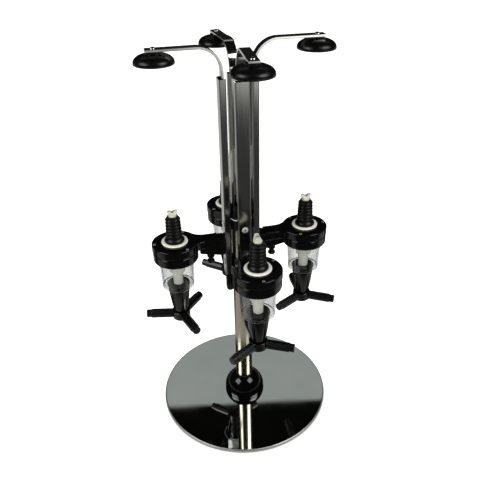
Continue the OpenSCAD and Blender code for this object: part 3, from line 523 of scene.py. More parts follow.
# Post: drawn steel tube, nickel plated, which gives a warm grey mirror. It was polished round and round, so
# highlights run along it as bright upright streaks.
TUBE_R = 12.5
TUBE_BORE_R = 11.3
TUBE_TOP = 311
TUBE_EDGE = 0.4
tube_section = [(TUBE_R, z) for z in (BASE_TOP, 60, 150, 240, TUBE_TOP - TUBE_EDGE)]
tube_section += [(TUBE_R - TUBE_EDGE, TUBE_TOP), (TUBE_BORE_R + TUBE_EDGE, TUBE_TOP)]
tube_section += [(TUBE_BORE_R, TUBE_TOP - TUBE_EDGE), (TUBE_BORE_R, BASE_TOP), (TUBE_R, BASE_TOP)]
post = turned("post_pipe", tube_section)
STREAK_SIZE = 6
STREAK_SHAPE = (1, 1, 9)
nickel, where = new_material("nickel_plated_tube")
stretch = add_node(nickel, "ShaderNodeMapping", {"Vector": where, "Scale": STREAK_SHAPE})
rings = add_node(nickel, "ShaderNodeTexNoise", {
    "Vector": stretch.outputs["Vector"],
    "Scale": 1 / (STREAK_SIZE * MM),
    "Detail": 4,
}).outputs["Fac"]
polish = add_node(nickel, "ShaderNodeMapRange", {
    "Value": rings,
    "To Min": 0.13,
    "To Max": 0.27,
}).outputs["Result"]
tone = add_node(nickel, "ShaderNodeMixRGB", {
    "Fac": rings,
    "Color1": paint("A39C8A"),
    "Color2": paint("C2BCAC"),
}).outputs["Color"]
scratch = add_node(nickel, "ShaderNodeBump", {
    "Height": rings,
    "Strength": 0.06,
    "Distance": 0.1 * MM,
}).outputs["Normal"]
surface = add_node(nickel, "ShaderNodeBsdfPrincipled", {
    "Base Color": tone,
    "Metallic": 1,
    "Roughness": polish,
    "Normal": scratch,
})
add_node(nickel, "ShaderNodeOutputMaterial", {"Surface": surface.outputs["BSDF"]})
dress(post, nickel)
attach(post, "base")
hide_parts("post_tube")

# Dome at the foot of the post: moulded ABS, hollow, pushed down over the tube on to the pan. The gloss is
# that of a polished mould, so the soft boxes show as two clear patches.
DOME_R = 30
DOME_Z = 8
DOME_HOLE_R = 12.54
DOME_T = 3
DOME_IN_R = DOME_R - DOME_T
DOME_LOW = BASE_TOP + 0.02
edge = math.degrees(math.acos((DOME_HOLE_R + 0.5) / DOME_R))
inner_edge = math.degrees(math.acos((DOME_HOLE_R + 0.1) / DOME_IN_R))
dome_section = [(DOME_R - 0.5, DOME_LOW), (DOME_R - 0.1, BASE_TOP + 0.25), (DOME_R, BASE_TOP + 0.7)]
dome_section += arc(0, DOME_Z, DOME_R, DOME_R, 0, edge, 40)
dome_section += [(DOME_HOLE_R + 0.12, DOME_Z + 26.9), (DOME_HOLE_R, DOME_Z + 26.5)]
dome_section += arc(0, DOME_Z, DOME_IN_R, DOME_IN_R, inner_edge, 0, 20)
dome_section += [(DOME_IN_R, DOME_LOW), (DOME_R - 0.5, DOME_LOW)]
post_dome = turned("post_dome", dome_section)
PEEL_SIZE = 2.5
SKIN_SIZE = 11
gloss, where = new_material("gloss_black_ABS")
skin = add_node(gloss, "ShaderNodeTexNoise", {
    "Vector": where,
    "Scale": 1 / (SKIN_SIZE * MM),
    "Detail": 6,
}).outputs["Fac"]
polish = add_node(gloss, "ShaderNodeMapRange", {
    "Value": skin,
    "From Min": 0.3,
    "From Max": 0.7,
    "To Min": 0.07,
    "To Max": 0.14,
}).outputs["Result"]
tone = add_node(gloss, "ShaderNodeMixRGB", {
    "Fac": skin,
    "Color1": paint("020202"),
    "Color2": paint("060606"),
}).outputs["Color"]
peel = add_node(gloss, "ShaderNodeTexNoise", {
    "Vector": where,
    "Scale": 1 / (PEEL_SIZE * MM),
    "Detail": 2,
}).outputs["Fac"]
orange = add_node(gloss, "ShaderNodeBump", {
    "Height": peel,
    "Strength": 0.05,
    "Distance": 0.2 * MM,
}).outputs["Normal"]
surface = add_node(gloss, "ShaderNodeBsdfPrincipled", {
    "Base Color": tone,
    "Roughness": polish,
    "IOR": 1.53,
    "Specular IOR Level": 0.35,
    "Normal": orange,
})
add_node(gloss, "ShaderNodeOutputMaterial", {"Surface": surface.outputs["BSDF"]})
dress(post_dome, gloss)
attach(post_dome, "base")
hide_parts("post_collar")

# Washer on the rim of the post: punched from white nylon sheet, which lets the column turn easily.
# The valve stems are moulded from the same nylon: milky, a little see-through, with a soft shine.
MILK_SIZE = 9
nylon, where = new_material("white_moulded_nylon")
cloud = add_node(nylon, "ShaderNodeTexNoise", {
    "Vector": where,
    "Scale": 1 / (MILK_SIZE * MM),
    "Detail": 4,
}).outputs["Fac"]
tone = add_node(nylon, "ShaderNodeMixRGB", {
    "Fac": cloud,
    "Color1": paint("ECEBE0"),
    "Color2": paint("F6F5EC"),
}).outputs["Color"]
polish = add_node(nylon, "ShaderNodeMapRange", {
    "Value": cloud,
    "To Min": 0.3,
    "To Max": 0.46,
}).outputs["Result"]
surface = add_node(nylon, "ShaderNodeBsdfPrincipled", {
    "Base Color": tone,
    "Roughness": polish,
    "IOR": 1.53,
    "Subsurface Weight": 0.12,
    "Subsurface Radius": (0.003, 0.0028, 0.0024),
    "Subsurface Scale": 0.5,
})
add_node(nylon, "ShaderNodeOutputMaterial", {"Surface": surface.outputs["BSDF"]})
dress(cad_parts["thrust_washer"], nylon)

# Hub sleeves and cap: glass-filled nylon, moulded black. The sleeves turn on the post and hold the four
# channels by keys, and the cap bears on the washer and has a tab for each arm spring. The fibres give a
# satin grain, drawn coarser than it is.
FIBRE_SIZE = 1.6
satin, where = new_material("satin_black_filled_nylon")
fibre = add_node(satin, "ShaderNodeTexNoise", {
    "Vector": where,
    "Scale": 1 / (FIBRE_SIZE * MM),
    "Detail": 5,
}).outputs["Fac"]
tone = add_node(satin, "ShaderNodeMixRGB", {
    "Fac": fibre,
    "Color1": paint("030303"),
    "Color2": paint("080808"),
}).outputs["Color"]
polish = add_node(satin, "ShaderNodeMapRange", {
    "Value": fibre,
    "To Min": 0.2,
    "To Max": 0.34,
}).outputs["Result"]
grain = add_node(satin, "ShaderNodeBump", {
    "Height": fibre,
    "Strength": 0.15,
    "Distance": 0.1 * MM,
}).outputs["Normal"]
surface = add_node(satin, "ShaderNodeBsdfPrincipled", {
    "Base Color": tone,
    "Roughness": polish,
    "IOR": 1.53,
    "Specular IOR Level": 0.35,
    "Normal": grain,
})
add_node(satin, "ShaderNodeOutputMaterial", {"Surface": surface.outputs["BSDF"]})
for name in ("upper_hub", "lower_hub", "hub_cap"):
    dress(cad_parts[name], satin)

# Channels of the column: roll-formed steel strip with turned-in lips, bright zinc under a clear lacquer that
# has gone grey. Rolling leaves long upright lines in the shine, drawn coarser than they are; the lips inside
# were never polished.
LIPS_R = 16.2
STATIONS = {"front": -90, "right": 0, "back": 90, "left": 180}
LINE_SIZE = 1.4
LINE_SHAPE = (1, 1, 0.02)
steel, where = new_material("roll_formed_zinc_steel")
stretch = add_node(steel, "ShaderNodeMapping", {"Vector": where, "Scale": LINE_SHAPE})
lines = add_node(steel, "ShaderNodeTexNoise", {
    "Vector": stretch.outputs["Vector"],
    "Scale": 1 / (LINE_SIZE * MM),
    "Detail": 5,
}).outputs["Fac"]
polish = add_node(steel, "ShaderNodeMapRange", {
    "Value": lines,
    "To Min": 0.1,
    "To Max": 0.18,
}).outputs["Result"]
unsigned = add_node(steel, "ShaderNodeVectorMath", {0: where}, operation="ABSOLUTE")
place = add_node(steel, "ShaderNodeSeparateXYZ", {"Vector": unsigned.outputs["Vector"]})
outward = add_node(steel, "ShaderNodeMath", {
    0: place.outputs["X"],
    1: place.outputs["Y"],
}, operation="MAXIMUM").outputs["Value"]
inside = add_node(steel, "ShaderNodeMapRange", {
    "Value": outward,
    "From Min": LIPS_R * MM,
    "From Max": (LIPS_R + 0.4) * MM,
    "To Min": 0.15,
    "To Max": 0,
}).outputs["Result"]
dulled = add_node(steel, "ShaderNodeMath", {0: polish, 1: inside}, operation="ADD").outputs["Value"]
tone = add_node(steel, "ShaderNodeMixRGB", {
    "Fac": lines,
    "Color1": paint("B0B0AC"),
    "Color2": paint("CBCBC7"),
}).outputs["Color"]
drawn = add_node(steel, "ShaderNodeBump", {
    "Height": lines,
    "Strength": 0.04,
    "Distance": 0.1 * MM,
}).outputs["Normal"]
surface = add_node(steel, "ShaderNodeBsdfPrincipled", {
    "Base Color": tone,
    "Metallic": 1,
    "Roughness": dulled,
    "Normal": drawn,
})
add_node(steel, "ShaderNodeOutputMaterial", {"Surface": surface.outputs["BSDF"]})
for name in STATIONS:
    dress(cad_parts["channel_" + name], steel)

# Brackets: ABS shoes, screwed to the column from inside. Each has a wall at the column, a wedge below that
# carries the dispenser's tail, and a round boss for the thumb screw.
WEB = 23.48
TAIL_W = 20
HEAD_LOW = 275
BRACKET_LOW = 262
BRACKET_TOP = 284.5
BRACKET_END = 57
WALL_T = 7.5
WALL_END = WEB + WALL_T
TIP_T = 7.5
RAIL_W = 7
RAIL_H = 3
SUNK = 1
THUMB_X = 41.98
BOSS_LOW = 256
BOSS_R = 5.1
BOSS_EDGE = 0.6
BOSS_BORE_R = 2.58


def plate(name, outline, low, high, bevel, segments=3):
    """A flat piece: an outline in millimetres is drawn out from low to high, and its edges are rounded."""
    bpy.ops.object.select_all(action="DESELECT")
    bpy.ops.mesh.primitive_circle_add(vertices=len(outline), radius=MM, fill_type="NGON")
    piece = bpy.context.object
    piece.name = piece.data.name = name
    for corner, (x, y) in zip(piece.data.vertices, outline):
        corner.co = (x * MM, y * MM, low * MM)
    bpy.ops.object.mode_set(mode="EDIT")
    bpy.ops.mesh.select_all(action="SELECT")
    bpy.ops.mesh.extrude_region_move(TRANSFORM_OT_translate={"value": (0, 0, (high - low) * MM)})
    bpy.ops.mesh.select_all(action="SELECT")
    bpy.ops.mesh.normals_make_consistent(inside=False)
    bpy.ops.object.mode_set(mode="OBJECT")
    rounding = piece.modifiers.new("rounded_edges", "BEVEL")
    rounding.width = bevel * MM
    rounding.segments = segments
    rounding.limit_method = "ANGLE"
    rounding.angle_limit = math.radians(34)
    bpy.ops.object.modifier_apply(modifier="rounded_edges")
    bpy.ops.object.shade_smooth_by_angle(angle=math.radians(40))
    return even_normals(piece)


def joined(name, pieces):
    """Several parts of one moulding made into one object."""
    bpy.ops.object.select_all(action="DESELECT")
    for part in pieces:
        part.select_set(True)
    bpy.context.view_layer.objects.active = pieces[0]
    bpy.ops.object.join()
    whole = bpy.context.object
    whole.name = whole.data.name = name
    return whole


def picked(piece):
    """Makes a piece the one that the next step works on."""
    bpy.ops.object.select_all(action="DESELECT")
    piece.select_set(True)
    bpy.context.view_layer.objects.active = piece


def copied(pattern):
    """A second one of a piece."""
    picked(pattern)
    bpy.ops.object.duplicate()
    return bpy.context.object


def moved(piece, along=(0, 0, 0), turn=(0, 0, 0)):
    """Turns a piece about the origin by degrees and moves it by millimetres, then settles its mesh there."""
    picked(piece)
    piece.rotation_euler = [math.radians(t) for t in turn]
    piece.location = [a * MM for a in along]
    bpy.ops.object.transform_apply(location=True, rotation=True, scale=True)
    return piece


def at_stations(pattern, prefix):
    """Copies of a piece that was modelled at the right-hand station, one for each station."""
    copies = {}
    for name, turn in STATIONS.items():
        copies[name] = moved(copied(pattern), turn=(0, 0, turn))
        copies[name].name = copies[name].data.name = prefix + name
    bpy.data.objects.remove(pattern)
    return copies


def four(name, pattern):
    """One object with the copies of a piece at all four stations."""
    return joined(name, list(at_stations(pattern, name + "_").values()))


side = [(WEB, BRACKET_LOW), (WALL_END, BRACKET_LOW), (BRACKET_END, HEAD_LOW - TIP_T)]
side += [(BRACKET_END, HEAD_LOW), (WALL_END, HEAD_LOW), (WALL_END, BRACKET_TOP), (WEB, BRACKET_TOP)]
wedge = moved(plate("wedge", side, -TAIL_W / 2, TAIL_W / 2, 0.9), turn=(90, 0, 0))
rail_plan = [(WALL_END - SUNK, -RAIL_W / 2), (BRACKET_END, -RAIL_W / 2)]
rail_plan += [(BRACKET_END, RAIL_W / 2), (WALL_END - SUNK, RAIL_W / 2)]
rail = plate("rail", rail_plan, HEAD_LOW - SUNK, HEAD_LOW + RAIL_H, 0.3)
boss_section = [(BOSS_BORE_R, BOSS_LOW), (BOSS_R - BOSS_EDGE, BOSS_LOW), (BOSS_R, BOSS_LOW + BOSS_EDGE)]
boss_section += [(BOSS_R, HEAD_LOW - SUNK), (BOSS_BORE_R, HEAD_LOW - SUNK), (BOSS_BORE_R, BOSS_LOW)]
boss = turned("boss", boss_section, 48)
bracket = joined("bracket", [wedge, rail, moved(boss, along=(THUMB_X, 0, 0))])
bracket_shoes = four("bracket_shoes", bracket)
dress(bracket_shoes, gloss)
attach(bracket_shoes, "rotor")
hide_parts("brackets")

# Dispenser heads: ABS mouldings, a thick round plate that runs out into a tail on the bracket. The edges are
# generously rounded, so a thin bright line follows the rim.
AXIS_R = 88
HEAD_R = 30
HEAD_TOP = 286
FLARE_R = 20
TAIL_END = 31.2
TAIL_MID = 40
flare_x = AXIS_R - math.sqrt((HEAD_R + FLARE_R) ** 2 - (TAIL_W / 2 + FLARE_R) ** 2)
lean = math.degrees(math.asin((TAIL_W / 2 + FLARE_R) / (HEAD_R + FLARE_R)))
outline = [(TAIL_END, -TAIL_W / 2), (TAIL_MID, -TAIL_W / 2)]
outline += arc(flare_x, -TAIL_W / 2 - FLARE_R, FLARE_R, FLARE_R, 90, lean, 10)
outline += arc(AXIS_R, 0, HEAD_R, HEAD_R, lean - 180, 180 - lean, 72)[1:-1]
outline += arc(flare_x, TAIL_W / 2 + FLARE_R, FLARE_R, FLARE_R, -lean, -90, 10)
outline += [(TAIL_MID, TAIL_W / 2), (TAIL_END, TAIL_W / 2)]
head = plate("head", outline, HEAD_LOW, HEAD_TOP, 1.3, 4)
dispenser_heads = four("dispenser_heads", head)
dress(dispenser_heads, gloss)
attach(dispenser_heads, "rotor")
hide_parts("heads")

# Screws on the heads: small, with threads rolled in plain steel, which has dulled to a dark grey. Three on
# each head draw up the clamp ring.
SPOT_SIZE = 1
dull, where = new_material("dulled_steel")
spots = add_node(dull, "ShaderNodeTexNoise", {
    "Vector": where,
    "Scale": 1 / (SPOT_SIZE * MM),
    "Detail": 3,
}).outputs["Fac"]
tone = add_node(dull, "ShaderNodeMixRGB", {
    "Fac": spots,
    "Color1": paint("6E6E6A"),
    "Color2": paint("8F8F8B"),
}).outputs["Color"]
surface = add_node(dull, "ShaderNodeBsdfPrincipled", {
    "Base Color": tone,
    "Metallic": 0.8,
    "Roughness": 0.45,
})
add_node(dull, "ShaderNodeOutputMaterial", {"Surface": surface.outputs["BSDF"]})
dress(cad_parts["head_screws"], dull)

# Clamp rings: ABS, drawn up under each head by three screws. A fine groove below the head shows the joint,
# and the lower edge is rounded.
RING_R = 29.5
RING_LOW = 261.2
RING_ROUND = 2.6
RING_BORE_R = 23.65
SEAT_R = 24.5
SEAT_LOW = 271.95
GROOVE_R = RING_R - 1.1
GROOVE_LOW = HEAD_LOW - 0.8
ring_section = [(GROOVE_R, HEAD_LOW), (GROOVE_R, GROOVE_LOW), (RING_R - 0.3, HEAD_LOW - 0.9)]
ring_section += [(RING_R, HEAD_LOW - 1.3)]
ring_section += arc(RING_R - RING_ROUND, RING_LOW + RING_ROUND, RING_ROUND, RING_ROUND, 0, -90, 10)
ring_section += [(RING_BORE_R + 0.4, RING_LOW), (RING_BORE_R, RING_LOW + 0.4), (RING_BORE_R, SEAT_LOW)]
ring_section += [(SEAT_R, SEAT_LOW), (SEAT_R, HEAD_LOW), (GROOVE_R, HEAD_LOW)]
ring = turned("ring", ring_section)
clamp_collars = four("clamp_collars", moved(ring, along=(AXIS_R, 0, 0)))
dress(clamp_collars, gloss)
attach(clamp_collars, "rotor")
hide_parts("clamp_rings")

# Measuring cups: clear styrene-acrylonitrile, moulded thin with a flat foot and held by the clamp rings.
# Clear on the flat, darker where one looks along the wall. The foot's rim is tinted grey, a painted shade
# for the dark edge of the rounded plastic, and shines more.
CUP_R = 23.5
CUP_T = 1.6
CUP_FOOT_R = 21.3
CUP_LOW = 218.8
CUP_FLOOR = 220.2
CUP_HOLE_R = 14.24
RIM_R = 1.5
INNER_RIM_R = 0.8
RIM_SHINE = 0.4
FLANGE_R = 24.4
FLANGE_LOW = 272
cup_top = HEAD_LOW - 0.02
cup_section = [(CUP_HOLE_R, CUP_LOW)]
cup_section += arc(CUP_FOOT_R - RIM_R, CUP_LOW + RIM_R, RIM_R, RIM_R, -90, 0, 8)
cup_section += [(CUP_R, RING_LOW), (CUP_R, FLANGE_LOW), (FLANGE_R, FLANGE_LOW), (FLANGE_R, cup_top)]
cup_section += [(CUP_R - CUP_T, cup_top), (CUP_R - CUP_T, RING_LOW)]
corner_x = CUP_FOOT_R - CUP_T - INNER_RIM_R
cup_section += arc(corner_x, CUP_FLOOR + INNER_RIM_R, INNER_RIM_R, INNER_RIM_R, 0, -90, 6)
cup_section += [(CUP_HOLE_R, CUP_FLOOR), (CUP_HOLE_R, CUP_LOW)]
cup = turned("cup", cup_section)
measuring_cups = four("measuring_cups", moved(cup, along=(AXIS_R, 0, 0)))
FLOW_SIZE = 14
clear, where = new_material("clear_moulded_SAN")
flow = add_node(clear, "ShaderNodeTexNoise", {
    "Vector": where,
    "Scale": 1 / (FLOW_SIZE * MM),
    "Detail": 3,
}).outputs["Fac"]
polish = add_node(clear, "ShaderNodeMapRange", {
    "Value": flow,
    "To Min": 0.02,
    "To Max": 0.1,
}).outputs["Result"]
tone = add_node(clear, "ShaderNodeMixRGB", {
    "Fac": flow,
    "Color1": paint("E6E7E7"),
    "Color2": paint("EFEFEE"),
}).outputs["Color"]
swirl = add_node(clear, "ShaderNodeBump", {
    "Height": flow,
    "Strength": 0.03,
    "Distance": 0.4 * MM,
}).outputs["Normal"]
edge = add_node(clear, "ShaderNodeLayerWeight", {"Blend": 0.12, "Normal": swirl})
through = add_node(clear, "ShaderNodeBsdfTransparent", {"Color": tone})
gleam = add_node(clear, "ShaderNodeBsdfGlossy", {
    "Color": tone,
    "Roughness": polish,
    "Normal": swirl,
})
wall = add_node(clear, "ShaderNodeMixShader", {
    0: edge.outputs["Facing"],
    1: through.outputs["BSDF"],
    2: gleam.outputs["BSDF"],
})
add_node(clear, "ShaderNodeOutputMaterial", {"Surface": wall.outputs["Shader"]})
dress(measuring_cups, clear)
# Rim finish: a grey see-through tint, painted shade for the dark edge of the rounded foot.
RIM_FLOW_SIZE = 6
rim, where = new_material("clear_SAN_rim_painted_shade")
flow = add_node(rim, "ShaderNodeTexNoise", {
    "Vector": where,
    "Scale": 1 / (RIM_FLOW_SIZE * MM),
    "Detail": 2,
}).outputs["Fac"]
tone = add_node(rim, "ShaderNodeMixRGB", {
    "Fac": flow,
    "Color1": paint("80858A"),
    "Color2": paint("9CA0A3"),
}).outputs["Color"]
through = add_node(rim, "ShaderNodeBsdfTransparent", {"Color": tone})
gleam = add_node(rim, "ShaderNodeBsdfGlossy", {"Color": paint("E4E8EB"), "Roughness": 0.3})
shine = add_node(rim, "ShaderNodeMixShader", {
    0: RIM_SHINE,
    1: through.outputs["BSDF"],
    2: gleam.outputs["BSDF"],
})
add_node(rim, "ShaderNodeOutputMaterial", {"Surface": shine.outputs["Shader"]})
measuring_cups.data.materials.append(rim)
# The faces of the foot's rim take the grey rim finish, the painted shade.
for face in measuring_cups.data.polygons:
    side, out = sorted((abs(face.center.x), abs(face.center.y)))
    from_axis = math.hypot(out - AXIS_R * MM, side)
    if from_axis > (CUP_FOOT_R - RIM_R) * MM and face.center.z < (CUP_LOW + RIM_R) * MM:
        face.material_index = 1
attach(measuring_cups, "rotor")
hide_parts("cups")

# Gaskets: cream silicone rings, moulded with a round edge and laid on each head under the stopper's foot.
# They are soft and slightly waxy.
GASKET_TOP = 288
GASKET_R = 17
GASKET_ROUND = 1
INLET_R = 5.4
gasket_section = [(INLET_R, HEAD_TOP), (GASKET_R - 1.1, HEAD_TOP)]
middle = (GASKET_R - GASKET_ROUND, HEAD_TOP + GASKET_ROUND)
gasket_section += arc(*middle, GASKET_ROUND, GASKET_ROUND, -90, 90, 10)
gasket_section += [(GASKET_R - 3, GASKET_TOP), (INLET_R, GASKET_TOP), (INLET_R, HEAD_TOP)]
gasket = turned("gasket", gasket_section)
gasket_rings = four("gasket_rings", moved(gasket, along=(AXIS_R, 0, 0)))
WAX_SIZE = 6
cream, where = new_material("cream_silicone")
cloud = add_node(cream, "ShaderNodeTexNoise", {
    "Vector": where,
    "Scale": 1 / (WAX_SIZE * MM),
    "Detail": 4,
}).outputs["Fac"]
tone = add_node(cream, "ShaderNodeMixRGB", {
    "Fac": cloud,
    "Color1": paint("D2CFC2"),
    "Color2": paint("E2E0D5"),
}).outputs["Color"]
dust = add_node(cream, "ShaderNodeBump", {
    "Height": cloud,
    "Strength": 0.15,
    "Distance": 0.3 * MM,
}).outputs["Normal"]
surface = add_node(cream, "ShaderNodeBsdfPrincipled", {
    "Base Color": tone,
    "Roughness": 0.5,
    "IOR": 1.41,
    "Subsurface Weight": 0.1,
    "Subsurface Radius": (0.002, 0.0017, 0.0012),
    "Subsurface Scale": 0.5,
    "Normal": dust,
})
add_node(cream, "ShaderNodeOutputMaterial", {"Surface": surface.outputs["BSDF"]})
dress(gasket_rings, cream)
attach(gasket_rings, "rotor")
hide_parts("gaskets")

# Stoppers: black rubber, moulded over the inlet tube, with a broad foot and soft ribs that grip a bottle's
# neck. The rubber is satin, so each rib shows a soft grey band.
STOPPER_TOP = 324
FOOT_R = 13
RIB_LOW = GASKET_TOP + 6.2
RIBS = 6
NOSE_H = 2.5
LOW_RIB_R = 10.7
TOP_RIB_R = 9.7
GROOVE = 1.5
NOSE_R = 7.3
NOSE_END_R = 6.9
rib_pitch = (STOPPER_TOP - NOSE_H - RIB_LOW) / RIBS
ribbed = [(INLET_R, GASKET_TOP), (FOOT_R - 0.4, GASKET_TOP)]
ribbed += arc(FOOT_R - 0.5, GASKET_TOP + 1.5, 0.5, 1.45, -70, 70, 6)
ribbed += [(FOOT_R - 0.8, GASKET_TOP + 3.1), (LOW_RIB_R + 0.6, GASKET_TOP + 4.6)]
ribbed += [(LOW_RIB_R - GROOVE, RIB_LOW - 0.2)]
for k in range(RIBS):
    rib_r = LOW_RIB_R + (TOP_RIB_R - LOW_RIB_R) * k / (RIBS - 1)
    ribbed += arc(rib_r - GROOVE, RIB_LOW + (k + 0.55) * rib_pitch, GROOVE, rib_pitch * 0.38, -84, 84, 10)
    ribbed += [(rib_r - GROOVE - 0.15, RIB_LOW + (k + 1.04) * rib_pitch)]
ribbed += [(TOP_RIB_R - 1.9, STOPPER_TOP - 2.2), (NOSE_R, STOPPER_TOP - 0.5), (NOSE_END_R, STOPPER_TOP)]
ribbed += [(INLET_R, STOPPER_TOP), (INLET_R, GASKET_TOP)]
stopper = turned("stopper", ribbed, 96)
ribbed_stoppers = four("ribbed_stoppers", moved(stopper, along=(AXIS_R, 0, 0)))
BLOOM_SIZE = 4
rubber, where = new_material("black_moulded_rubber")
bloom = add_node(rubber, "ShaderNodeTexNoise", {
    "Vector": where,
    "Scale": 1 / (BLOOM_SIZE * MM),
    "Detail": 6,
}).outputs["Fac"]
tone = add_node(rubber, "ShaderNodeMixRGB", {
    "Fac": bloom,
    "Color1": paint("020202"),
    "Color2": paint("070707"),
}).outputs["Color"]
polish = add_node(rubber, "ShaderNodeMapRange", {
    "Value": bloom,
    "To Min": 0.32,
    "To Max": 0.42,
}).outputs["Result"]
grain = add_node(rubber, "ShaderNodeBump", {
    "Height": bloom,
    "Strength": 0.15,
    "Distance": 0.2 * MM,
}).outputs["Normal"]
surface = add_node(rubber, "ShaderNodeBsdfPrincipled", {
    "Base Color": tone,
    "Roughness": polish,
    "Specular IOR Level": 0.3,
    "Normal": grain,
})
add_node(rubber, "ShaderNodeOutputMaterial", {"Surface": surface.outputs["BSDF"]})
dress(ribbed_stoppers, rubber)
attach(ribbed_stoppers, "rotor")
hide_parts("stoppers")

# Inlet tubes: ivory polypropylene, moulded as a pipe whose tip is pressed to a chisel with a notch, so that
# liquor runs in past the bottle's glass. Waxy, with a soft shine.
CLOUD_SIZE = 5
ivory, where = new_material("ivory_polypropylene")
cloud = add_node(ivory, "ShaderNodeTexNoise", {
    "Vector": where,
    "Scale": 1 / (CLOUD_SIZE * MM),
    "Detail": 4,
}).outputs["Fac"]
tone = add_node(ivory, "ShaderNodeMixRGB", {
    "Fac": cloud,
    "Color1": paint("A8A794"),
    "Color2": paint("BAB9A7"),
}).outputs["Color"]
polish = add_node(ivory, "ShaderNodeMapRange", {
    "Value": cloud,
    "To Min": 0.3,
    "To Max": 0.45,
}).outputs["Result"]
surface = add_node(ivory, "ShaderNodeBsdfPrincipled", {
    "Base Color": tone,
    "Roughness": polish,
    "IOR": 1.49,
    "Subsurface Weight": 0.15,
    "Subsurface Radius": (0.003, 0.0026, 0.002),
    "Subsurface Scale": 0.5,
})
add_node(ivory, "ShaderNodeOutputMaterial", {"Surface": surface.outputs["BSDF"]})
dress(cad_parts["inlet_tubes"], ivory)

# Spouts: black ABS mouldings, bullet-shaped and fluted, each seated on the floor of its cup and pushed
# through the hole in it.
dress(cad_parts["spouts"], gloss)

# Valve stems: white nylon pins in the cups. Each hangs from its collar, closes the cup with its foot and is
# pushed up by the trigger at the end of its thin rod.
STEM_TOP = 257.2
STEM_LOW = 222
STEM_R = 7.1
COLLAR_R = 10.5
COLLAR_H = 15
COLLAR_LOW = STEM_TOP - COLLAR_H
ROD_LOW = 165.5
ROD_R = 3
SNAP = 0.4
COLLAR_EDGE = 0.7
stem_section = [(0, ROD_LOW), (ROD_R - SNAP, ROD_LOW), (ROD_R, ROD_LOW + SNAP), (ROD_R, ROD_LOW + 1)]
stem_section += [(ROD_R + SNAP, ROD_LOW + 1.2), (ROD_R + SNAP, ROD_LOW + 1.8)]
stem_section += [(ROD_R, ROD_LOW + 2), (ROD_R, STEM_LOW), (STEM_R - 1.1, STEM_LOW)]
stem_section += [(STEM_R - 0.6, STEM_LOW + 0.5), (STEM_R - 0.1, COLLAR_LOW - 3)]
stem_section += arc(COLLAR_R - 1, COLLAR_LOW - 3, 2.5, 2.4, 180, 90, 6)
stem_section += arc(COLLAR_R - COLLAR_EDGE, COLLAR_LOW + 0.4, COLLAR_EDGE, COLLAR_EDGE, -90, 0, 4)
stem_section += [(COLLAR_R, STEM_TOP - 0.6), (COLLAR_R - 0.6, STEM_TOP), (0, STEM_TOP)]
stem = turned("stem", stem_section, 64)
for name, pin in at_stations(moved(stem, along=(AXIS_R, 0, 0)), "valve_pin_").items():
    dress(pin, nylon)
    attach(pin, name + "_valve")
    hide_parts("valve_stem_" + name)

# Return springs: cold-drawn spring wire wound on a mandrel, each between its valve stem and the head. They
# push the stem down again when the glass is taken away. The marks on the wire are coarser than in life.
RETURN_LOW = 257.8
RETURN_TOP = 281
RETURN_R = 5.5
RETURN_TURNS = 4
RETURN_WIRE = 1.0
STEPS = 24


def wire(name, points, thickness):
    """A bent wire: a path through points in millimetres is given its thickness and made a mesh."""
    bpy.ops.object.select_all(action="DESELECT")
    bpy.ops.curve.primitive_nurbs_path_add()
    piece = bpy.context.object
    piece.name = name
    piece.data.splines.clear()
    run = piece.data.splines.new("POLY")
    run.points.add(len(points) - 1)
    for point, place in zip(run.points, points):
        point.co = [p * MM for p in place] + [1]
    piece.data.dimensions = "3D"
    piece.data.bevel_depth = thickness / 2 * MM
    piece.data.bevel_resolution = 2
    piece.data.use_fill_caps = True
    bpy.ops.object.convert(target="MESH")
    bpy.ops.object.shade_smooth_by_angle(angle=math.radians(50))
    return bpy.context.object


coil = [(AXIS_R + RETURN_R, -RETURN_WIRE, RETURN_LOW)]
for k in range(RETURN_TURNS * STEPS + 1):
    turn = math.tau * k / STEPS
    rise = (RETURN_TOP - RETURN_LOW) * k / (RETURN_TURNS * STEPS)
    coil.append((AXIS_R + RETURN_R * math.cos(turn), RETURN_R * math.sin(turn), RETURN_LOW + rise))
coil.append((AXIS_R + RETURN_R, RETURN_WIRE, RETURN_TOP))
DRAWN_SIZE = 1.2
spring_wire, where = new_material("cold_drawn_spring_wire")
drawn = add_node(spring_wire, "ShaderNodeTexNoise", {
    "Vector": where,
    "Scale": 1 / (DRAWN_SIZE * MM),
    "Detail": 3,
}).outputs["Fac"]
tone = add_node(spring_wire, "ShaderNodeMixRGB", {
    "Fac": drawn,
    "Color1": paint("DAD9D5"),
    "Color2": paint("F0EFEB"),
}).outputs["Color"]
polish = add_node(spring_wire, "ShaderNodeMapRange", {
    "Value": drawn,
    "To Min": 0.3,
    "To Max": 0.45,
}).outputs["Result"]
surface = add_node(spring_wire, "ShaderNodeBsdfPrincipled", {
    "Base Color": tone,
    "Metallic": 0.35,
    "Roughness": polish,
})
add_node(spring_wire, "ShaderNodeOutputMaterial", {"Surface": surface.outputs["BSDF"]})
for name, spring in at_stations(wire("return_coil", coil, RETURN_WIRE), "return_coil_").items():
    turn = math.radians(STATIONS[name])
    dress(spring, spring_wire)
    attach(spring, "rotor")
    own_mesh(spring)
    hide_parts("return_spring_" + name)

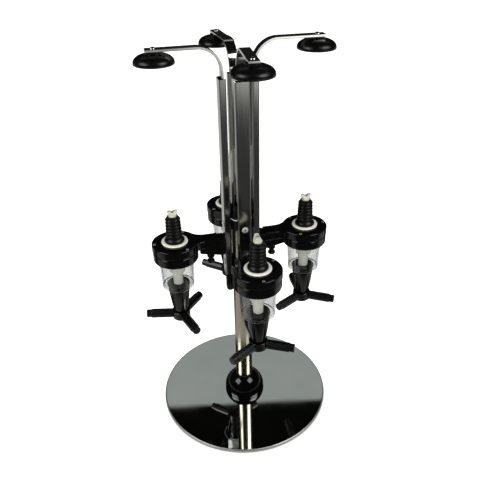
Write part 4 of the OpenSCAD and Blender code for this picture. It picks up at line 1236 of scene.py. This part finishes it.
# Triggers: black nylon spiders with three eight-sided prongs, free to turn on the stem's rod. A glass is
# pressed up against the prongs, from any side. Each hangs at its own turn.
TRIGGER_TURN = {"front": 62.5, "right": -31, "back": 49.2, "left": -11.9}
TRIGGER_LOW = 163.9
HUB_R = 12.2
HUB_BORE_R = 11.1
HUB_H = 12.4
PRONG_END = 48
PRONG_TIP = 6.5
PRONG_ROOT = 11.5
TIP_ROOT = 20
TIP_STEP = 0.9
FLOOR_T = 2.5
SOCKET_R = 5.4
SOCKET_H = 6
PIN_END = ROD_LOW - 0.3
OUTLET_R = (SOCKET_R + HUB_BORE_R) / 2
OUTLET_D = 3
pin_r = ROD_R + 0.08
hub_top = TRIGGER_LOW + HUB_H
hub_section = [(0, TRIGGER_LOW), (HUB_R - 1, TRIGGER_LOW)]
hub_section += arc(HUB_R - 1, TRIGGER_LOW + 1, 1, 1, -90, 0, 6)
hub_section += [(HUB_R, hub_top - 0.5), (HUB_R - 0.5, hub_top), (HUB_BORE_R, hub_top)]
hub_section += [(HUB_BORE_R, TRIGGER_LOW + FLOOR_T), (SOCKET_R, TRIGGER_LOW + FLOOR_T)]
hub_section += [(SOCKET_R, TRIGGER_LOW + SOCKET_H), (pin_r, TRIGGER_LOW + SOCKET_H)]
hub_section += [(pin_r, PIN_END), (0, PIN_END)]
hub = turned("hub", hub_section, 64)
drills = []
for turn in (60, 180, 300):
    bpy.ops.object.select_all(action="DESELECT")
    bpy.ops.mesh.primitive_cylinder_add(vertices=24, radius=OUTLET_D / 2 * MM, depth=2 * FLOOR_T * MM)
    drill = moved(bpy.context.object, along=(OUTLET_R, 0, TRIGGER_LOW + FLOOR_T / 2))
    drills.append(moved(drill, turn=(0, 0, turn)))
drill = joined("drill", drills)
bored = hub.modifiers.new("outlets", "BOOLEAN")
bored.operation = "DIFFERENCE"
bored.object = drill
picked(hub)
bpy.ops.object.modifier_apply(modifier="outlets")
bpy.data.objects.remove(drill)
prong_across = HUB_H / math.cos(math.pi / 8) / 2
lengths = [(prong_across, PRONG_ROOT, PRONG_END - PRONG_TIP)]
lengths += [(prong_across - TIP_STEP, TIP_ROOT, PRONG_END)]
parts = [hub]
for turn in (0, 120, 240):
    for across, start, stop in lengths:
        corners = arc(0, 0, across, across, 22.5, 337.5, 7)
        prong = moved(plate("prong", corners, start, stop, 0.7, 3), turn=(0, 90, 0))
        parts.append(moved(moved(prong, along=(0, 0, TRIGGER_LOW + HUB_H / 2)), turn=(0, 0, turn)))
spider = joined("spider", parts)
for name, turn in STATIONS.items():
    trigger = moved(copied(spider), along=(AXIS_R, 0, 0), turn=(0, 0, TRIGGER_TURN[name]))
    moved(trigger, turn=(0, 0, turn))
    trigger.name = trigger.data.name = "trigger_spider_" + name
    dress(trigger, satin)
    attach(trigger, name + "_trigger")
    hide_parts("trigger_" + name)
bpy.data.objects.remove(spider)

# Thumb screws: black nylon knobs moulded on threaded pins. They clamp each tail on its bracket from below,
# and two turns let a dispenser off.
for name in STATIONS:
    dress(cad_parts["thumb_screw_" + name], satin)

# Arms: flat bright steel strip, bent once to a quarter round. The leg slides in its channel, and the reach
# goes out over the bottle. Edges were tumbled, so they catch the light.
LEG_IN = 16.98
STRIP_T = 3
STRIP_W = 12
LEG_LOW = 316
ARM_TOP = 523
BEND_R = 26
ARM_END = 101
ARM_REST = {"front": 8, "right": 8.5, "back": 0, "left": 3.5}
ARM_TWIST = {"front": -4, "right": -1, "back": 4.4, "left": 0.4}
bend_x = LEG_IN + STRIP_T + BEND_R
bend_z = ARM_TOP - STRIP_T - BEND_R
upper = [(LEG_IN, LEG_LOW), (LEG_IN, bend_z)]
upper += arc(bend_x, bend_z, BEND_R + STRIP_T, BEND_R + STRIP_T, 180, 90, 24)[1:] + [(ARM_END, ARM_TOP)]
under = [(ARM_END, ARM_TOP - STRIP_T)] + arc(bend_x, bend_z, BEND_R, BEND_R, 90, 180, 24)
under += [(LEG_IN + STRIP_T, LEG_LOW)]
strip = moved(plate("strip", upper + under, -STRIP_W / 2, STRIP_W / 2, 0.5, 2), turn=(90, 0, 0))
SCUFF_SIZE = 12
bright_steel, where = new_material("tumbled_bright_steel")
scuff = add_node(bright_steel, "ShaderNodeTexNoise", {
    "Vector": where,
    "Scale": 1 / (SCUFF_SIZE * MM),
    "Detail": 3,
}).outputs["Fac"]
tone = add_node(bright_steel, "ShaderNodeMixRGB", {
    "Fac": scuff,
    "Color1": paint("CACAC6"),
    "Color2": paint("DCDCD8"),
}).outputs["Color"]
polish = add_node(bright_steel, "ShaderNodeMapRange", {
    "Value": scuff,
    "To Min": 0.07,
    "To Max": 0.13,
}).outputs["Result"]
surface = add_node(bright_steel, "ShaderNodeBsdfPrincipled", {
    "Base Color": tone,
    "Metallic": 1,
    "Roughness": polish,
})
add_node(bright_steel, "ShaderNodeOutputMaterial", {"Surface": surface.outputs["BSDF"]})


def on_arms(pattern, prefix):
    """Copies of a piece that goes with the arms, each lifted and turned as its arm sits in its channel."""
    leg_mid = LEG_IN + STRIP_T / 2
    copies = {}
    for name, turn in STATIONS.items():
        copy = moved(copied(pattern), along=(-leg_mid, 0, 0))
        moved(copy, along=(leg_mid, 0, ARM_REST[name]), turn=(0, 0, ARM_TWIST[name]))
        copy.name = copy.data.name = prefix + name
        copies[name] = moved(copy, turn=(0, 0, turn))
    bpy.data.objects.remove(pattern)
    return copies


for name, arm in on_arms(strip, "sprung_arm_").items():
    dress(arm, bright_steel)
    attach(arm, name + "_arm")
    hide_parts("arm_" + name)

# Pressers: black domes of soft PVC under the arm's ends, hollow below, with a boss that meets the strip.
# They sit on the upturned bottle's base and hold it down. Semi-gloss, with broad soft highlights.
REACH = 92
PRESSER_R = 22.75
RIM = 507
CROWN = 518.5
LIP = 0.8
SHOULDER = 0.85
HOLLOW_R = 17.75
HOLLOW_H = 7.5
PAD_R = 8
PAD_TOP = ARM_TOP - STRIP_T
cap_section = [(0, PAD_TOP), (PAD_R - 0.6, PAD_TOP), (PAD_R, PAD_TOP - 0.5), (PAD_R + 0.2, CROWN - 0.4)]
for angle in range(66, -1, -3):
    across, up = math.cos(math.radians(angle)), math.sin(math.radians(angle))
    cap_section.append((PRESSER_R * across ** SHOULDER, RIM + LIP + (CROWN - RIM - LIP) * up ** SHOULDER))
cap_section += arc(PRESSER_R - LIP, RIM + LIP, LIP, LIP, -15, -90, 6)
cap_section += [(HOLLOW_R, RIM), (HOLLOW_R - 0.3, RIM + 0.3)] + arc(0, RIM, HOLLOW_R, HOLLOW_H, 10, 90, 14)
cap = turned("cap", cap_section, 128)
VINYL_SIZE = 7
vinyl, where = new_material("black_soft_vinyl")
bloom = add_node(vinyl, "ShaderNodeTexNoise", {
    "Vector": where,
    "Scale": 1 / (VINYL_SIZE * MM),
    "Detail": 5,
}).outputs["Fac"]
tone = add_node(vinyl, "ShaderNodeMixRGB", {
    "Fac": bloom,
    "Color1": paint("020202"),
    "Color2": paint("050505"),
}).outputs["Color"]
polish = add_node(vinyl, "ShaderNodeMapRange", {
    "Value": bloom,
    "To Min": 0.22,
    "To Max": 0.36,
}).outputs["Result"]
grain = add_node(vinyl, "ShaderNodeBump", {
    "Height": bloom,
    "Strength": 0.08,
    "Distance": 0.2 * MM,
}).outputs["Normal"]
surface = add_node(vinyl, "ShaderNodeBsdfPrincipled", {
    "Base Color": tone,
    "Roughness": polish,
    "IOR": 1.5,
    "Specular IOR Level": 0.3,
    "Normal": grain,
})
add_node(vinyl, "ShaderNodeOutputMaterial", {"Surface": surface.outputs["BSDF"]})
for name, dome in on_arms(moved(cap, along=(REACH, 0, 0)), "presser_dome_").items():
    dress(dome, vinyl)
    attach(dome, name + "_arm")
    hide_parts("presser_" + name)
    dress(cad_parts["presser_screw_" + name], bright_steel)

# Tension springs: spring wire with a long open loop that hooks on the cap's tab, a close coil above it and a
# straight end through the arm's leg. They pull the arm down and stretch as it is lifted.
SPRING_X = 12.28
LOOP_LOW = 332
LOOP_W = 1.9
COIL_LOW = 362
COIL_R = 3
COIL_TURNS = 15.625
COIL_PITCH = 2.3
TENSION_WIRE = 0.9
HOOK_RISE = 1.2
LOOP_BENDS = (LOOP_LOW + 8, COIL_LOW - 12)
for name, station in STATIONS.items():
    turn = math.radians(station)
    coil_top = COIL_LOW + COIL_TURNS * COIL_PITCH + ARM_REST[name]
    hook_z = coil_top + HOOK_RISE
    path = [(SPRING_X, -LOOP_W, z) for z in (COIL_LOW - 3.5, *reversed(LOOP_BENDS))]
    path += [(SPRING_X, y, z) for y, z in arc(0, LOOP_LOW + LOOP_W, LOOP_W, LOOP_W, 180, 360, 16)]
    path += [(SPRING_X, LOOP_W, z) for z in (*LOOP_BENDS, COIL_LOW - 1.6)]
    path += [(SPRING_X - 0.1, LOOP_W + 0.35, COIL_LOW - 0.75)]
    path += [(SPRING_X - 0.5, COIL_R - 0.2, COIL_LOW - 0.25)]
    for k in range(2, int(COIL_TURNS * STEPS) + 1):
        wind = math.tau * k / STEPS + math.pi / 2
        rise = (coil_top - COIL_LOW) * k / (COIL_TURNS * STEPS)
        path.append((SPRING_X + COIL_R * math.cos(wind), COIL_R * math.sin(wind), COIL_LOW + rise))
    end_x = SPRING_X + COIL_R
    path += [(end_x + 0.4, -0.75, coil_top + 0.6), (end_x + 1.5, -0.1, hook_z - 0.1)]
    path += [(end_x + 2.6, 0, hook_z), (LEG_IN + STRIP_T, 0, hook_z)]
    spring = moved(wire("arm_spring_" + name, path, TENSION_WIRE), turn=(0, 0, station))
    dress(spring, spring_wire)
    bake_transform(spring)
    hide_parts("tension_spring_" + name)
